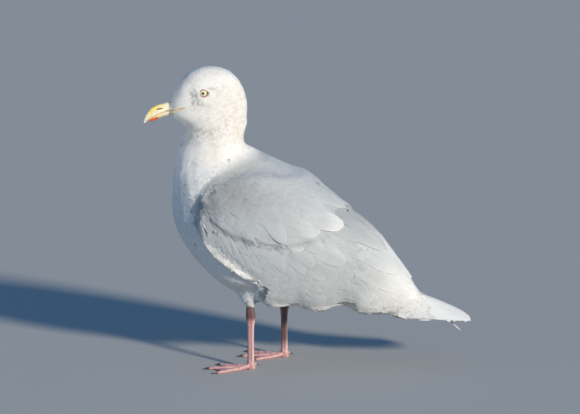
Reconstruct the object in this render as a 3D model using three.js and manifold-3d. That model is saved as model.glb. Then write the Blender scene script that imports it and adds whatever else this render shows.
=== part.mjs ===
// A standing white-winged gull, life size, as a still model in millimetres.
// +Z is up, the bill points along -X and the bird's left side is -Y. The group is
// shifted at the end so that its origin is the bottom centre of its box, on the ground.
//
// The plumage is one smooth body that is parted by thin cuts. The folded wings and the
// shoulder feathers are wider copies of that body, hollow on their inner side and cut
// out along lines seen from the side.
import * as THREE from "three";
import Module from "manifold-3d";
import { mergeVertices } from "three/addons/utils/BufferGeometryUtils.js";

const wasm = await Module();
wasm.setup();

// ---------------------------------------------------------------- driving dimensions
const FAR = 400; // larger than the bird
const GAP = 0.3; // clearance between neighbouring solids
const SWELL = 0.5; // how far a cutting shape is swollen, so that edges keep the gap too
const SLIVER = 0.04; // faces flatter than this are merged
const LEFT = -1; // sign of Y on the bird's left side
const RIGHT = 1;

const EYE = { x: -55.5, z: 330.6, radius: 6.4, stand: 1.1 }; // stand: how far it shows
const STANCE = 32; // half the distance between the two feet
const LEFT_FOOT_X = 1; // the left foot is half a step in front of the right one
const RIGHT_FOOT_X = 40.5;
const SHANK_END_Z = 9.5; // where the shank stands on the foot

// Each row of a body table is a slice of the bird seen from the side: its upper end
// (x, z), its lower end (x, z), its half width, how far its widest place lies below its
// middle, as a share, and its fullness: 1 gives an ellipse, less a squarer slice.
const HEAD = [
  [-95.0, 310.5, -95.0, 303.0, 4.6, 0.0, 0.9],
  [-91.5, 319.5, -91.0, 297.5, 10.5, 0.05, 0.82],
  [-85.0, 335.0, -84.8, 292.6, 15.6, 0.1, 0.76],
  [-74.5, 348.6, -79.0, 288.2, 19.4, 0.11, 0.72],
  [-58.5, 356.6, -75.0, 284.6, 22.0, 0.11, 0.7],
  [-41.0, 357.6, -73.6, 282.6, 23.8, 0.1, 0.7],
  [-24.0, 352.6, -74.2, 281.0, 25.0, 0.09, 0.72],
  [-10.8, 338.5, -75.6, 279.4, 25.8, 0.07, 0.75],
  [-4.2, 321.0, -77.2, 277.2, 26.4, 0.04, 0.78],
  [-2.0, 303.5, -79.2, 274.4, 27.2, 0.02, 0.8],
];
const NECK = [
  [-3.2, 289.5, -81.6, 270.4, 28.6, 0.0, 0.82],
  [-6.8, 278.5, -84.0, 264.0, 30.6, 0.0, 0.84],
  [-7.6, 270.0, -86.2, 255.6, 33.4, 0.0, 0.85],
  [-2.4, 262.6, -88.2, 242.6, 38.0, 0.0, 0.86],
];
const TRUNK = [
  [12.0, 254.8, -90.0, 224.0, 46.5, 0.0, 0.86],
  [31.0, 246.2, -91.3, 201.0, 53.0, 0.0, 0.86],
  [50.0, 237.6, -90.5, 178.0, 55.5, 0.0, 0.86],
  [68.0, 226.6, -84.2, 158.0, 57.5, 0.0, 0.86],
  [84.0, 213.4, -73.4, 139.0, 58.0, 0.0, 0.86],
  [98.0, 199.6, -58.4, 119.6, 57.0, 0.0, 0.86],
  [110.0, 184.6, -38.0, 100.6, 55.0, 0.0, 0.86],
  [121.0, 168.4, -13.0, 85.0, 51.5, 0.0, 0.86],
  [132.0, 151.4, 14.0, 76.0, 46.5, 0.0, 0.86],
  [143.0, 134.6, 44.0, 72.6, 39.5, 0.0, 0.86],
  [152.0, 119.0, 76.0, 73.6, 32.0, 0.0, 0.86],
  [160.5, 107.4, 107.0, 75.0, 26.0, 0.0, 0.86],
  [168.0, 99.4, 134.0, 70.6, 22.0, 0.0, 0.86],
  [174.0, 93.6, 154.0, 66.4, 20.0, 0.0, 0.86],
];
// The folded wings rise over the rump: the upper ends of the last slices of a wing.
const WING_CREST = [
  [112, 187.5],
  [128, 179.5],
  [142, 167],
  [154, 155],
  [166, 138],
  [178, 122],
  [188, 109],
  [197, 96.5],
];
const BODY = [...HEAD, ...NECK, ...TRUNK];
const BODY_RING = 22; // corners of a body slice
const WING_FULLNESS = 0.38; // of the wing's lower half, which hangs straighter
const WIDENING_FULLNESS = 0.6; // 1 widens like a sine wave, less is more even
const BODY_STEPS = 35; // slices from the bill to the tail

// The white feathers of the neck and breast stand out over the back and the wing in
// front of this line, seen from the side: x, z from the nape down to the thigh.
const FLANK_LINE = [
  [16, 266],
  [8, 254],
  [-10, 249],
  [-28, 241],
  [-44, 230],
  [-55, 217],
  [-62, 203],
  [-64, 188],
  [-61, 169],
  [-50, 149],
  [-33, 132],
  [-13, 118],
  [3, 110],
  [11, 102],
  [8, 92],
  [-4, 80],
  [-24, 66],
];
const FLANK_STAND = 8; // how far they stand out

// The folded wing: its outline seen from the side.
const WING_OUTLINE = [
  [-72, 226],
  [-72, 150],
  [2, 98],
  [12, 84],
  [24, 80.5],
  [40, 79.5],
  [60, 81],
  [84, 77],
  [108, 80],
  [126, 74.5],
  [142, 73],
  [158, 75],
  [174, 82],
  [188, 90],
  [197, 92.5],
  [199, 96],
  [192, 107],
  [178, 124],
  [164, 144],
  [150, 162],
  [136, 175],
  [122, 185],
  [60, 210],
];
const WING_STAND = 12; // how far it stands out of the body at most
const WING_HOLLOW = 5; // how far its inner side stands out of the body
const WING_DROP = 9; // how thick it is along its upper edge
const WING_TIP_X = 118; // the wing is parted here into arm and tip

// The shoulder feathers: their outline seen from the side, from the bend of the wing
// round the lower edge to the last feather tip and back along the edge of the mantle.
const SHOULDER_OUTLINE = [
  [-57, 213],
  [-52, 198],
  [-40, 182],
  [-20, 170],
  [8, 161],
  [36, 157],
  [64, 160],
  [92, 168],
  [110, 176],
  [117, 185],
  [118, 198],
  [104, 216],
  [86, 234],
  [74, 241],
  [64, 237],
  [54, 232],
  [34, 235],
  [10, 239],
  [-12, 237],
  [-34, 231],
  [-50, 222.5],
];
const SHOULDER_STAND = 4; // how far they stand out over the wing
const SHOULDER_RISE = 5; // how far they stand out over the mantle

// Each row is a slice of the closed tail: x, height of its ridge, height of its outer
// edges, half width, and thickness at the ridge.
const TAIL = [
  [150, 104, 78, 18, 34],
  [170, 98, 66, 22, 30],
  [186, 92.5, 60, 26, 24],
  [204, 85, 58, 28, 16.5],
  [222, 76.6, 57.4, 29, 10.5],
  [240, 68.2, 56.6, 28.6, 6.4],
  [252, 61.8, 55.2, 25, 4],
  [259, 56.4, 53.4, 16, 2.2],
  [261.6, 53.6, 52.6, 6, 1.2],
];
const TAIL_RIM = 0.4; // half the thickness of the tail's edge

// Each row is a slice of the bill: top (x, z), bottom (x, z) and half width. The first
// rows are the flanges that run back under the cheeks to the gape.
const BILL_UPPER = [
  [-77.5, 311.9, -77.3, 310.7, 20.4],
  [-85.0, 313.4, -84.6, 309.3, 16.0],
  [-91.0, 314.6, -90.4, 307.6, 12.0],
  [-96.4, 314.8, -95.6, 305.8, 7.2],
  [-103.0, 312.8, -102.3, 303.6, 6.2],
  [-110.0, 310.8, -109.6, 300.3, 5.4],
  [-116.2, 307.2, -115.0, 297.1, 4.6],
  [-120.8, 301.8, -118.7, 294.6, 3.6],
  [-123.9, 295.4, -121.2, 292.0, 2.4],
  [-125.3, 291.2, -123.4, 290.0, 1.3],
  [-125.0, 289.4, -124.5, 289.2, 0.4],
];
const BILL_LOWER = [
  [-77.5, 310.3, -77.3, 309.3, 20.2],
  [-85.0, 308.9, -84.6, 305.2, 16.0],
  [-91.0, 307.2, -90.4, 301.2, 11.6],
  [-95.8, 305.4, -95.6, 298.7, 6.8],
  [-102.3, 303.2, -101.8, 297.6, 5.8],
  [-109.6, 299.9, -108.1, 294.8, 4.9],
  [-114.9, 296.7, -113.6, 292.3, 3.9],
  [-118.0, 294.4, -117.4, 291.6, 2.6],
  [-119.6, 292.9, -119.4, 291.9, 0.9],
];
const FACE_X = -93; // behind this the bill is a flange let into the cheeks
const BILL_SWELL = 0.7; // clearance round the bill, whose flanges are thin
const FLANGE_STAND = 0.3; // how far that flange stands out of the feathers

// Toes of a left foot: the turn from straight ahead in degrees, positive to the bird's
// left, the length without the claw, and the thickness at the root.
const TOES = {
  inner: { turn: -28, length: 40, thick: 5.6 },
  middle: { turn: 0, length: 50, thick: 6.0 },
  outer: { turn: 29, length: 48, thick: 5.8 },
  hind: { turn: 200, length: 5, thick: 3.6 },
};
const LEFT_FOOT_TURN = 5; // the left foot points a little outwards
const RIGHT_FOOT_TURN = -3; // the right foot points almost straight ahead
const WEB_THICK = 1.2;
const WEB_Z = 0.9;
const CLAW_LENGTH = 6;
const TOE_STEPS = 6;
const TOE_TAPER = 0.42; // how much thinner a toe is at its end, as a share
const KNUCKLE = 1.12; // how much thicker a toe is at its knuckles
const HIND_TOE_START = 3; // the hind toe starts this far from the leg's axis
const HIND_TOE_Z = 6.6; // and this far above the ground
const HIND_TOE_FALL = 1.6;

// The leg's columns, from the top down: how far forward of the ankle's axis each slice
// lies, how far inwards, its height, half its length and half its width.
const THIGH = [
  [8, 6, 108, 15, 9],
  [7, 3, 98, 14, 9],
  [5.5, 1, 90, 11.5, 8.5],
  [3, 0, 84, 8.6, 7.2],
  [1, 0, 78, 6.2, 5.6],
  [0, 0, 74, 4.8, 4.4],
];
const SHANK = [
  [1.5, 0, 82, 2.6, 2.4],
  [0.8, 0, 72, 3.4, 2.9],
  [0, 0, 66, 4.6, 3.5],
  [-0.4, 0, 62, 5.2, 3.9],
  [0, 0, 57, 4.4, 3.4],
  [0.2, 0, 50, 4.0, 2.9],
  [0.2, 0, 34, 3.8, 2.7],
  [0, 0, 18, 3.9, 2.8],
  [0, 0, SHANK_END_Z, 4.2, 3.4],
];
const HEEL = [
  [-0.6, 0, -1, 4.4, 4.2],
  [-0.6, 0, 3, 5.0, 4.8],
  [-0.2, 0, 7, 4.6, 4.2],
  [0, 0, SHANK_END_Z - GAP, 4.2, 3.4],
];

// ---------------------------------------------------------------- general shapes
/** A closed surface through rings of equally many corners, with flat ends. */
function loft(rings) {
  const size = rings[0].length;
  const middle = (ring) =>
    ring.reduce((sum, p) => sum.add(p), new THREE.Vector3()).divideScalar(size);
  const points = [...rings.flat(), middle(rings[0]), middle(rings.at(-1))];
  const corner = (ring, k) => ring * size + (k % size);
  const faces = [];
  for (let k = 0; k < size; k++) {
    for (let ring = 0; ring + 1 < rings.length; ring++) {
      const [a, b] = [corner(ring, k), corner(ring, k + 1)];
      const [c, d] = [corner(ring + 1, k), corner(ring + 1, k + 1)];
      faces.push(a, c, b, b, c, d);
    }
    const last = rings.length - 1;
    faces.push(points.length - 2, corner(0, k), corner(0, k + 1));
    faces.push(points.length - 1, corner(last, k + 1), corner(last, k));
  }
  const geometry = new THREE.BufferGeometry().setFromPoints(points);
  geometry.setIndex(faces);
  return geometry;
}

/** A geometry with shared corners and no other data, its faces pointing outwards. */
function outward(geometry) {
  const bare = geometry.clone();
  bare.deleteAttribute("normal");
  bare.deleteAttribute("uv");
  const merged = mergeVertices(bare, 1e-3);
  const places = merged.attributes.position;
  const corners = merged.index.array;
  const [a, b, c] = [0, 1, 2].map(() => new THREE.Vector3());
  let volume = 0;
  for (let i = 0; i < corners.length; i += 3) {
    [a, b, c].forEach((p, k) => p.fromBufferAttribute(places, corners[i + k]));
    volume += a.dot(b.cross(c));
  }
  if (volume > 0) return merged;
  for (let i = 0; i < corners.length; i += 3) {
    [corners[i + 1], corners[i + 2]] = [corners[i + 2], corners[i + 1]];
  }
  return merged;
}

/** A three.js geometry as a manifold-3d solid. */
function solid(geometry) {
  const shell = outward(geometry);
  return new wasm.Manifold(
    new wasm.Mesh({
      numProp: 3,
      vertProperties: new Float32Array(shell.attributes.position.array),
      triVerts: new Uint32Array(shell.index.array),
    }),
  );
}

/** The solid of a geometry swollen along its normals, to cut a clearance round it. */
function swollen(geometry, by = SWELL) {
  const shell = outward(geometry);
  shell.computeVertexNormals();
  const { position, normal } = shell.attributes;
  const [place, out] = [new THREE.Vector3(), new THREE.Vector3()];
  for (let i = 0; i < position.count; i++) {
    place.fromBufferAttribute(position, i);
    place.addScaledVector(out.fromBufferAttribute(normal, i), by);
    position.setXYZ(i, ...place);
  }
  return solid(shell);
}

/** A solid's largest piece as a three.js geometry. */
function geometryOf(made) {
  const pieces = made.decompose().sort((one, other) => other.volume() - one.volume());
  const mesh = pieces[0].simplify(SLIVER).getMesh();
  const geometry = new THREE.BufferGeometry();
  const places = new THREE.BufferAttribute(mesh.vertProperties, 3);
  geometry.setAttribute("position", places);
  geometry.setIndex(new THREE.BufferAttribute(mesh.triVerts, 1));
  return geometry;
}

/** A box solid between two corners, for trimming. */
function block(low, high) {
  const size = high.map((v, k) => v - low[k]);
  const box = new THREE.BoxGeometry(...size);
  box.translate(...high.map((v, k) => (v + low[k]) / 2));
  return solid(box);
}

/** A smooth path through the rows of a table, giving columns first to first + 2. */
function path(table, first, width = 3) {
  const points = table.map(
    (row) => new THREE.Vector3(...row.slice(first, first + width)),
  );
  return new THREE.CatmullRomCurve3(points, false, "catmullrom", 0.5);
}

// ---------------------------------------------------------------- head, neck and trunk
const crest = path(BODY, 0, 2);
const wingCrest = path([...BODY.slice(0, -WING_CREST.length), ...WING_CREST], 0, 2);
const keel = path(BODY, 2, 2);
const girth = path(BODY, 4);

/** The body's ring at t, from 0 at the bill to 1 at the tail, grown by some form. */
function bodyRing(t, form) {
  const top = form.crest.getPoint(t);
  const bottom = keel.getPoint(t);
  const [width, low, full] = girth.getPoint(t);
  const centre = top.clone().add(bottom).multiplyScalar(0.5);
  const half = top.clone().sub(centre);
  const raised = 1 + form.rise / half.length();
  const ring = [];
  for (let k = 0; k < BODY_RING; k++) {
    const angle = (2 * Math.PI * k) / BODY_RING;
    const [c, s] = [Math.cos(angle), Math.sin(angle)];
    const fullness = full + (form.fullness - full) * (0.5 - 0.5 * c);
    const side = Math.sign(s) * Math.abs(s) ** fullness * (1 - low * c);
    const reach = c > 0 ? c * raised : c;
    const [x, z] = [centre.x + half.x * reach, centre.y + half.y * reach];
    ring.push(new THREE.Vector3(x, (width + form.widening) * side, z));
  }
  return ring;
}

/** The rings of the body between two rows of its table, grown by some form. */
function bodyStretch(fromRow, toRow, form = {}) {
  const rows = BODY.length - 1;
  const steps = Math.round((BODY_STEPS * (toRow - fromRow)) / rows);
  const plain = { crest, widening: 0, rise: 0, fullness: TRUNK[0][6] };
  const { widening, ...rest } = { ...plain, ...form };
  const rings = [];
  for (let i = 0; i <= steps; i++) {
    const share = i / steps;
    const t = Math.min((fromRow + (toRow - fromRow) * share) / rows, 1);
    const swell = Math.sin(Math.PI * share) ** WIDENING_FULLNESS;
    rings.push(bodyRing(t, { ...rest, widening: widening * swell }));
  }
  return rings;
}

/** Moves a stretch's first ring a gap's width towards its second one. */
function withGap(rings) {
  const centre = (ring) => ring[0].clone().add(ring[BODY_RING / 2]).multiplyScalar(0.5);
  const across = rings[0][0].clone().sub(rings[0][BODY_RING / 2]);
  const normal = new THREE.Vector3(0, 1, 0).cross(across).normalize();
  if (normal.dot(centre(rings[1]).sub(centre(rings[0]))) < 0) normal.negate();
  rings[0] = rings[0].map((p) => p.clone().addScaledVector(normal, GAP));
  return rings;
}

const HEAD_END = HEAD.length - 1;
const NECK_END = HEAD.length + NECK.length - 1;
const headLoft = solid(loft(bodyStretch(0, HEAD_END)));
const neck = solid(loft(withGap(bodyStretch(HEAD_END, NECK_END))));

/** The trunk's surface, grown by some form. */
const trunkShape = (form) => loft(withGap(bodyStretch(NECK_END, BODY.length - 1, form)));

/** A closed outline with its corners moved outwards. */
function grown(corners, by) {
  const turn = Math.sign(THREE.ShapeUtils.area(corners));
  return corners.map((corner, i) => {
    const next = corners[(i + 1) % corners.length];
    const along = next.clone().sub(corners.at(i - 1)).normalize();
    const out = new THREE.Vector2(along.y, -along.x).multiplyScalar(turn * by);
    return corner.clone().add(out);
  });
}

/** A block as wide as the bird with an outline seen from the side. */
function sideBlock(corners, clearance = 0) {
  const shape = new THREE.Shape(grown(corners, clearance));
  const options = { depth: 2 * FAR, bevelEnabled: false };
  const wall = new THREE.ExtrudeGeometry(shape, options);
  return solid(wall.rotateX(Math.PI / 2).translate(0, FAR, 0));
}

/** Points along a smooth curve through some places seen from the side. */
function smoothed(places, count, closed = false) {
  const points = places.map(([x, z]) => new THREE.Vector3(x, 0, z));
  const curve = new THREE.CatmullRomCurve3(points, closed, "catmullrom", 0.5);
  return curve.getPoints(count).map((p) => new THREE.Vector2(p.x, p.z));
}

const flankLine = smoothed(FLANK_LINE, 20);
const breastOutline = [
  new THREE.Vector2(-FAR, 0),
  new THREE.Vector2(-FAR, FAR),
  new THREE.Vector2(flankLine[0].x, FAR),
  ...flankLine,
  new THREE.Vector2(flankLine.at(-1).x, 0),
];
const shoulderOutline = smoothed(SHOULDER_OUTLINE, 36, true).slice(0, -1);
const wingOutline = WING_OUTLINE.map((place) => new THREE.Vector2(...place));
const clearOfBreastBlock = sideBlock(breastOutline, SWELL);

const breastShape = trunkShape({ widening: FLANK_STAND });
const breast = solid(breastShape).intersect(sideBlock(breastOutline));
const trunk = solid(trunkShape()).add(breast);
const clearOfTrunk = swollen(trunkShape()).add(
  swollen(breastShape).intersect(clearOfBreastBlock),
);

// ---------------------------------------------------------------- wings and tail
/** The surface of the closed tail: a shallow roof of stacked feathers. */
function tail() {
  const corners = 8;
  const rings = TAIL.map(([x, ridge, edge, half, thick]) => {
    const ring = [];
    for (let k = 0; k <= corners; k++) {
      const share = (2 * k) / corners - 1;
      const z = ridge + (edge - ridge) * share * share;
      ring.push(new THREE.Vector3(x, share * half, z + TAIL_RIM));
    }
    for (let k = corners; k >= 0; k--) {
      const share = (2 * k) / corners - 1;
      const below = ridge - thick;
      const z = below + (edge - below) * share * share;
      ring.push(new THREE.Vector3(x, share * half, z - TAIL_RIM));
    }
    return ring;
  });
  return loft(rings);
}

const tailSolid = solid(tail()).subtract(clearOfTrunk);
const clearOfTail = swollen(tail());

/** Half of the space: the bird's left or right side. */
const sideOf = (side) =>
  side === LEFT
    ? block([-FAR, -FAR, -FAR], [FAR, -GAP, FAR])
    : block([-FAR, GAP, -FAR], [FAR, FAR, FAR]);

const wingForm = { fullness: WING_FULLNESS, crest: wingCrest };
const wingHollow = (gap) =>
  solid(trunkShape({ ...wingForm, widening: WING_HOLLOW - gap, rise: -WING_DROP }));
const wingSpace = sideBlock(wingOutline, SWELL).subtract(wingHollow(1));

/** A folded wing, in two parts: its arm and its tip behind a thin cut. */
function wingPair(side) {
  const whole = solid(trunkShape({ ...wingForm, widening: WING_STAND }))
    .subtract(wingHollow(0))
    .intersect(sideBlock(wingOutline))
    .intersect(sideOf(side))
    .subtract(clearOfTrunk)
    .subtract(clearOfTail)
    .subtract(clearOfBreastBlock)
    .subtract(sideBlock(shoulderOutline, SWELL));
  const behind = block([WING_TIP_X + GAP / 2, -FAR, -FAR], [FAR, FAR, FAR]);
  const inFront = block([-FAR, -FAR, -FAR], [WING_TIP_X - GAP / 2, FAR, FAR]);
  return { arm: whole.intersect(inFront), tip: whole.intersect(behind) };
}

/** The shoulder feathers that lie over the wing's upper edge. */
function shoulder(side) {
  const widening = WING_STAND + SHOULDER_STAND;
  return solid(trunkShape({ ...wingForm, widening, rise: SHOULDER_RISE }))
    .intersect(sideBlock(shoulderOutline))
    .intersect(sideOf(side))
    .subtract(clearOfTrunk)
    .subtract(clearOfBreastBlock);
}

// ---------------------------------------------------------------- bill and eyes
/** Half the width of the head at a place seen from the side. */
function headHalfWidth(x, z) {
  const probe = block([x - 0.5, 0, z - 0.5], [x + 0.5, 60, z + 0.5]);
  return headLoft.intersect(probe).boundingBox().max[1];
}

/** The surface of a half of the bill. Its slices are narrower at the top or the bottom. */
function billHalf(table, upward) {
  const corners = 12;
  const rings = table.map(([topX, topZ, lowX, lowZ, width]) => {
    const flange = headHalfWidth(topX, topZ) + FLANGE_STAND;
    const half = topX > FACE_X ? Math.min(width, flange) : width;
    const ring = [];
    for (let k = 0; k < corners; k++) {
      const angle = (2 * Math.PI * k) / corners;
      const [c, s] = [Math.cos(angle), Math.sin(angle)];
      const share = (1 - c) / 2; // 0 at the top, 1 at the bottom
      const fullness = upward ? 0.62 + 0.38 * share : 1 - 0.38 * share;
      const [x, z] = [topX + (lowX - topX) * share, topZ + (lowZ - topZ) * share];
      ring.push(new THREE.Vector3(x, half * s * fullness, z));
    }
    return ring;
  });
  return loft(rings);
}

const eyeY = headHalfWidth(EYE.x, EYE.z) + EYE.stand - EYE.radius;

function eyeball(side) {
  const ball = new THREE.SphereGeometry(EYE.radius, 14, 8);
  return ball.translate(EYE.x, side * eyeY, EYE.z);
}

const billUpper = billHalf(BILL_UPPER, true);
const billLower = billHalf(BILL_LOWER, false);
const head = headLoft
  .subtract(swollen(billUpper, BILL_SWELL))
  .subtract(swollen(billLower, BILL_SWELL))
  .subtract(swollen(eyeball(LEFT)))
  .subtract(swollen(eyeball(RIGHT)));

// ---------------------------------------------------------------- legs and feet
/** The surface of a round column through the rows of one of the leg's tables. */
function column(table, footX, side) {
  const corners = 10;
  const rings = table.map(([ahead, inward, z, deep, wide]) =>
    Array.from({ length: corners }, (_, k) => {
      const angle = (2 * Math.PI * k) / corners;
      const x = footX - ahead + deep * Math.cos(angle);
      const y = side * (STANCE - inward) + wide * Math.sin(angle);
      return new THREE.Vector3(x, y, z);
    }),
  );
  return loft(rings);
}

/** The feathered thigh, which slants forward into the belly. */
function thigh(x, side) {
  return solid(column(THIGH, x, side))
    .subtract(clearOfTrunk)
    .subtract(wingSpace)
    .subtract(swollen(column(SHANK, x, side)));
}

/** The bare leg from the lower thigh over the ankle to the foot. */
function shank(x, side) {
  return solid(column(SHANK, x, side)).subtract(clearOfTrunk);
}

/** A point on a toe's line at some distance from the ankle's axis. */
function toePoint(toe, distance, turn, x, side) {
  const angle = THREE.MathUtils.degToRad(toe.turn + turn);
  return new THREE.Vector2(
    x - Math.cos(angle) * distance,
    side * (STANCE + Math.sin(angle) * distance),
  );
}

/** A six-sided ring across a toe's line. */
function toeRing(toe, distance, z, halfWide, halfHigh, turn, x, side) {
  const at = toePoint(toe, distance, turn, x, side);
  const across = toePoint(toe, distance, turn + 1, x, side).sub(at).normalize();
  return Array.from({ length: 6 }, (_, k) => {
    const angle = (2 * Math.PI * k) / 6;
    const [out, up] = [halfWide * Math.cos(angle), halfHigh * Math.sin(angle)];
    return new THREE.Vector3(at.x + across.x * out, at.y + across.y * out, z + up);
  });
}

/** A tapering toe with knuckles, lying on the ground. */
function toe(name, turn, x, side) {
  const shape = TOES[name];
  const hind = name === "hind";
  const steps = hind ? 2 : TOE_STEPS;
  const start = hind ? HIND_TOE_START : 0;
  const rings = [];
  for (let i = 0; i <= steps; i++) {
    const t = i / steps;
    const knuckle = i % 2 === 0 ? KNUCKLE : 1;
    const half = (shape.thick / 2) * (1 - TOE_TAPER * t) * knuckle;
    const z = hind ? HIND_TOE_Z - HIND_TOE_FALL * t : half * 0.86 + 2.6 * (1 - t) ** 6;
    const distance = Math.max(start + shape.length * t, 0.5);
    rings.push(toeRing(shape, distance, z, half, half, turn, x, side));
  }
  return loft(rings);
}

/** The web between the three front toes, its free edges curved in. */
function web(turn, x, side) {
  const tip = (name) => toePoint(TOES[name], TOES[name].length - 3, turn, x, side);
  const [inner, middle, outer] = ["inner", "middle", "outer"].map(tip);
  const heel = new THREE.Vector2(x, side * STANCE);
  const pulledIn = (a, b) => a.clone().add(b).multiplyScalar(0.5).lerp(heel, 0.16);
  const [innerBay, outerBay] = [pulledIn(inner, middle), pulledIn(middle, outer)];
  const outline = new THREE.Shape();
  outline.moveTo(heel.x, heel.y);
  outline.lineTo(inner.x, inner.y);
  outline.quadraticCurveTo(innerBay.x, innerBay.y, middle.x, middle.y);
  outline.quadraticCurveTo(outerBay.x, outerBay.y, outer.x, outer.y);
  outline.closePath();
  const options = { depth: WEB_THICK, bevelEnabled: false, curveSegments: 6 };
  const sheet = new THREE.ExtrudeGeometry(outline, options);
  return sheet.translate(0, 0, WEB_Z);
}

/** A foot: heel, toes and web, flat where it meets the ground. */
function foot(turn, x, side) {
  const heel = column(HEEL, x, side);
  const toes = Object.keys(TOES).map((name) => toe(name, turn, x, side));
  const parts = [heel, web(turn, x, side), ...toes].map(solid);
  const whole = parts.reduce((sum, part) => sum.add(part));
  return whole.subtract(block([-200, -200, -50], [200, 200, 0]));
}

/** A claw that curves down from the end of a toe, just clear of the ground. */
function claw(name, turn, x, side) {
  const shape = TOES[name];
  const hind = name === "hind";
  const long = hind ? 0.6 * CLAW_LENGTH : CLAW_LENGTH;
  const root = (shape.thick / 2) * 0.52;
  const start = (hind ? HIND_TOE_START : 0) + shape.length + GAP;
  const steps = 3;
  const rings = [];
  for (let i = 0; i <= steps; i++) {
    const t = i / steps;
    const half = Math.max(root * (1 - t) ** 0.8, 0.22);
    const z = (hind ? 5.0 : 2.3) - (hind ? 2.2 : 1.5) * t * t;
    rings.push(toeRing(shape, start + long * t, z, 0.8 * half, half, turn, x, side));
  }
  return loft(rings);
}

// ---------------------------------------------------------------- the bird
const MATERIALS = {
  whitePlumage: { color: 0xf2efe8, roughness: 0.9 },
  greyPlumage: { color: 0xbfc4ca, roughness: 0.85 },
  paleWingTip: { color: 0xe4e6e8, roughness: 0.85 },
  yellowHorn: { color: 0xe9d27a, roughness: 0.4 },
  pinkSkin: { color: 0xd99a9c, roughness: 0.55 },
  darkClaw: { color: 0x3a3230, roughness: 0.45 },
  paleIris: { color: 0xe8e2b4, roughness: 0.1 },
};

const bird = new THREE.Group();

function addNode(name, made, finish) {
  const material = new THREE.MeshStandardMaterial({
    ...MATERIALS[finish],
    metalness: 0,
  });
  const mesh = new THREE.Mesh(geometryOf(made), material);
  mesh.name = name;
  bird.add(mesh);
}

addNode("head", head, "whitePlumage");
addNode("neck", neck, "whitePlumage");
addNode("trunk", trunk, "whitePlumage");
addNode("tail", tailSolid, "whitePlumage");
addNode("bill_upper", solid(billUpper), "yellowHorn");
addNode("bill_lower", solid(billLower), "yellowHorn");

for (const [side, word, x, turn] of [
  [LEFT, "left", LEFT_FOOT_X, LEFT_FOOT_TURN],
  [RIGHT, "right", RIGHT_FOOT_X, RIGHT_FOOT_TURN],
]) {
  const wing = wingPair(side);
  addNode(`wing_${word}`, wing.arm, "greyPlumage");
  addNode(`wing_tip_${word}`, wing.tip, "paleWingTip");
  addNode(`shoulder_${word}`, shoulder(side), "greyPlumage");
  addNode(`eye_${word}`, solid(eyeball(side)), "paleIris");
  addNode(`thigh_${word}`, thigh(x, side), "whitePlumage");
  addNode(`leg_${word}`, shank(x, side), "pinkSkin");
  addNode(`foot_${word}`, foot(turn, x, side), "pinkSkin");
  for (const name of Object.keys(TOES)) {
    addNode(`claw_${word}_${name}`, solid(claw(name, turn, x, side)), "darkClaw");
  }
}

// The origin goes to the bottom centre of the whole bird.
const box = new THREE.Box3().setFromObject(bird);
const centre = box.getCenter(new THREE.Vector3());
bird.position.set(-centre.x, -centre.y, -box.min.z);

export default bird;
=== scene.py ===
"""The looks of a standing white-winged gull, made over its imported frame.

Lengths in the tables are millimetres in a side view, the drawing: x runs from the bill
to the tail and z up from the ground. at() turns them into the frame's metres.
"""

import math

import bpy
import numpy as np
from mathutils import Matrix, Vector, noise
from mathutils.bvhtree import BVHTree


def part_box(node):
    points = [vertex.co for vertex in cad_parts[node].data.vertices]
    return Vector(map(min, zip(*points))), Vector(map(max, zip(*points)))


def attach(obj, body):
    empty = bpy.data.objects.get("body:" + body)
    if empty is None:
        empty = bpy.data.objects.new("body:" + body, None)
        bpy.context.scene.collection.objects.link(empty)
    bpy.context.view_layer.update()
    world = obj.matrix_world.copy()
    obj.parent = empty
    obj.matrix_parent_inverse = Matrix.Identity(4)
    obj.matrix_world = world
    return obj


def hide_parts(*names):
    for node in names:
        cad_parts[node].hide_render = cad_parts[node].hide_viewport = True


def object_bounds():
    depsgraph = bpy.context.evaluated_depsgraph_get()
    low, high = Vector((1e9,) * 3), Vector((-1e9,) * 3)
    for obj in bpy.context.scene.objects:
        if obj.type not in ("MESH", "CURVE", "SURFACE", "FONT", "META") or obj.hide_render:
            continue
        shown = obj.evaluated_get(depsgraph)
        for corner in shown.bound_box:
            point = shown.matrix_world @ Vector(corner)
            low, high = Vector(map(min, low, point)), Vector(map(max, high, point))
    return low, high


MM = 0.001
LEFT, RIGHT = -1, 1  # the sign of y on each side of the bird
SIDES = {LEFT: "left", RIGHT: "right"}
rng = np.random.default_rng(7)

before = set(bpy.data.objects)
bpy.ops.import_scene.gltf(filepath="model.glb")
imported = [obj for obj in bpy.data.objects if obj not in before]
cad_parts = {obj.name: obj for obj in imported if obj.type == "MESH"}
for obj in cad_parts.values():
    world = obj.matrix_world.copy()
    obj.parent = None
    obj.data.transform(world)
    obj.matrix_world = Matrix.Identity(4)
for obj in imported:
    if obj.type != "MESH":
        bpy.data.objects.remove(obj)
cad_low, cad_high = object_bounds()
BILL_TIP_X = -125.35  # where the bill's tip lies in the drawing
ORIGIN_X = cad_low.x - BILL_TIP_X * MM


def at(x, z, y=0.0):
    """A place in the drawing, y to the bird's right, in the frame's metres."""
    return np.array([ORIGIN_X + x * MM, y * MM, z * MM])


def drawn(places):
    """The drawing's x, y and z in millimetres of places in the frame."""
    return (np.atleast_2d(places) - [ORIGIN_X, 0, 0]) / MM


def framed(places):
    """The places in the frame of the drawing's x, y and z."""
    return at(0, 0) + places * MM


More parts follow.
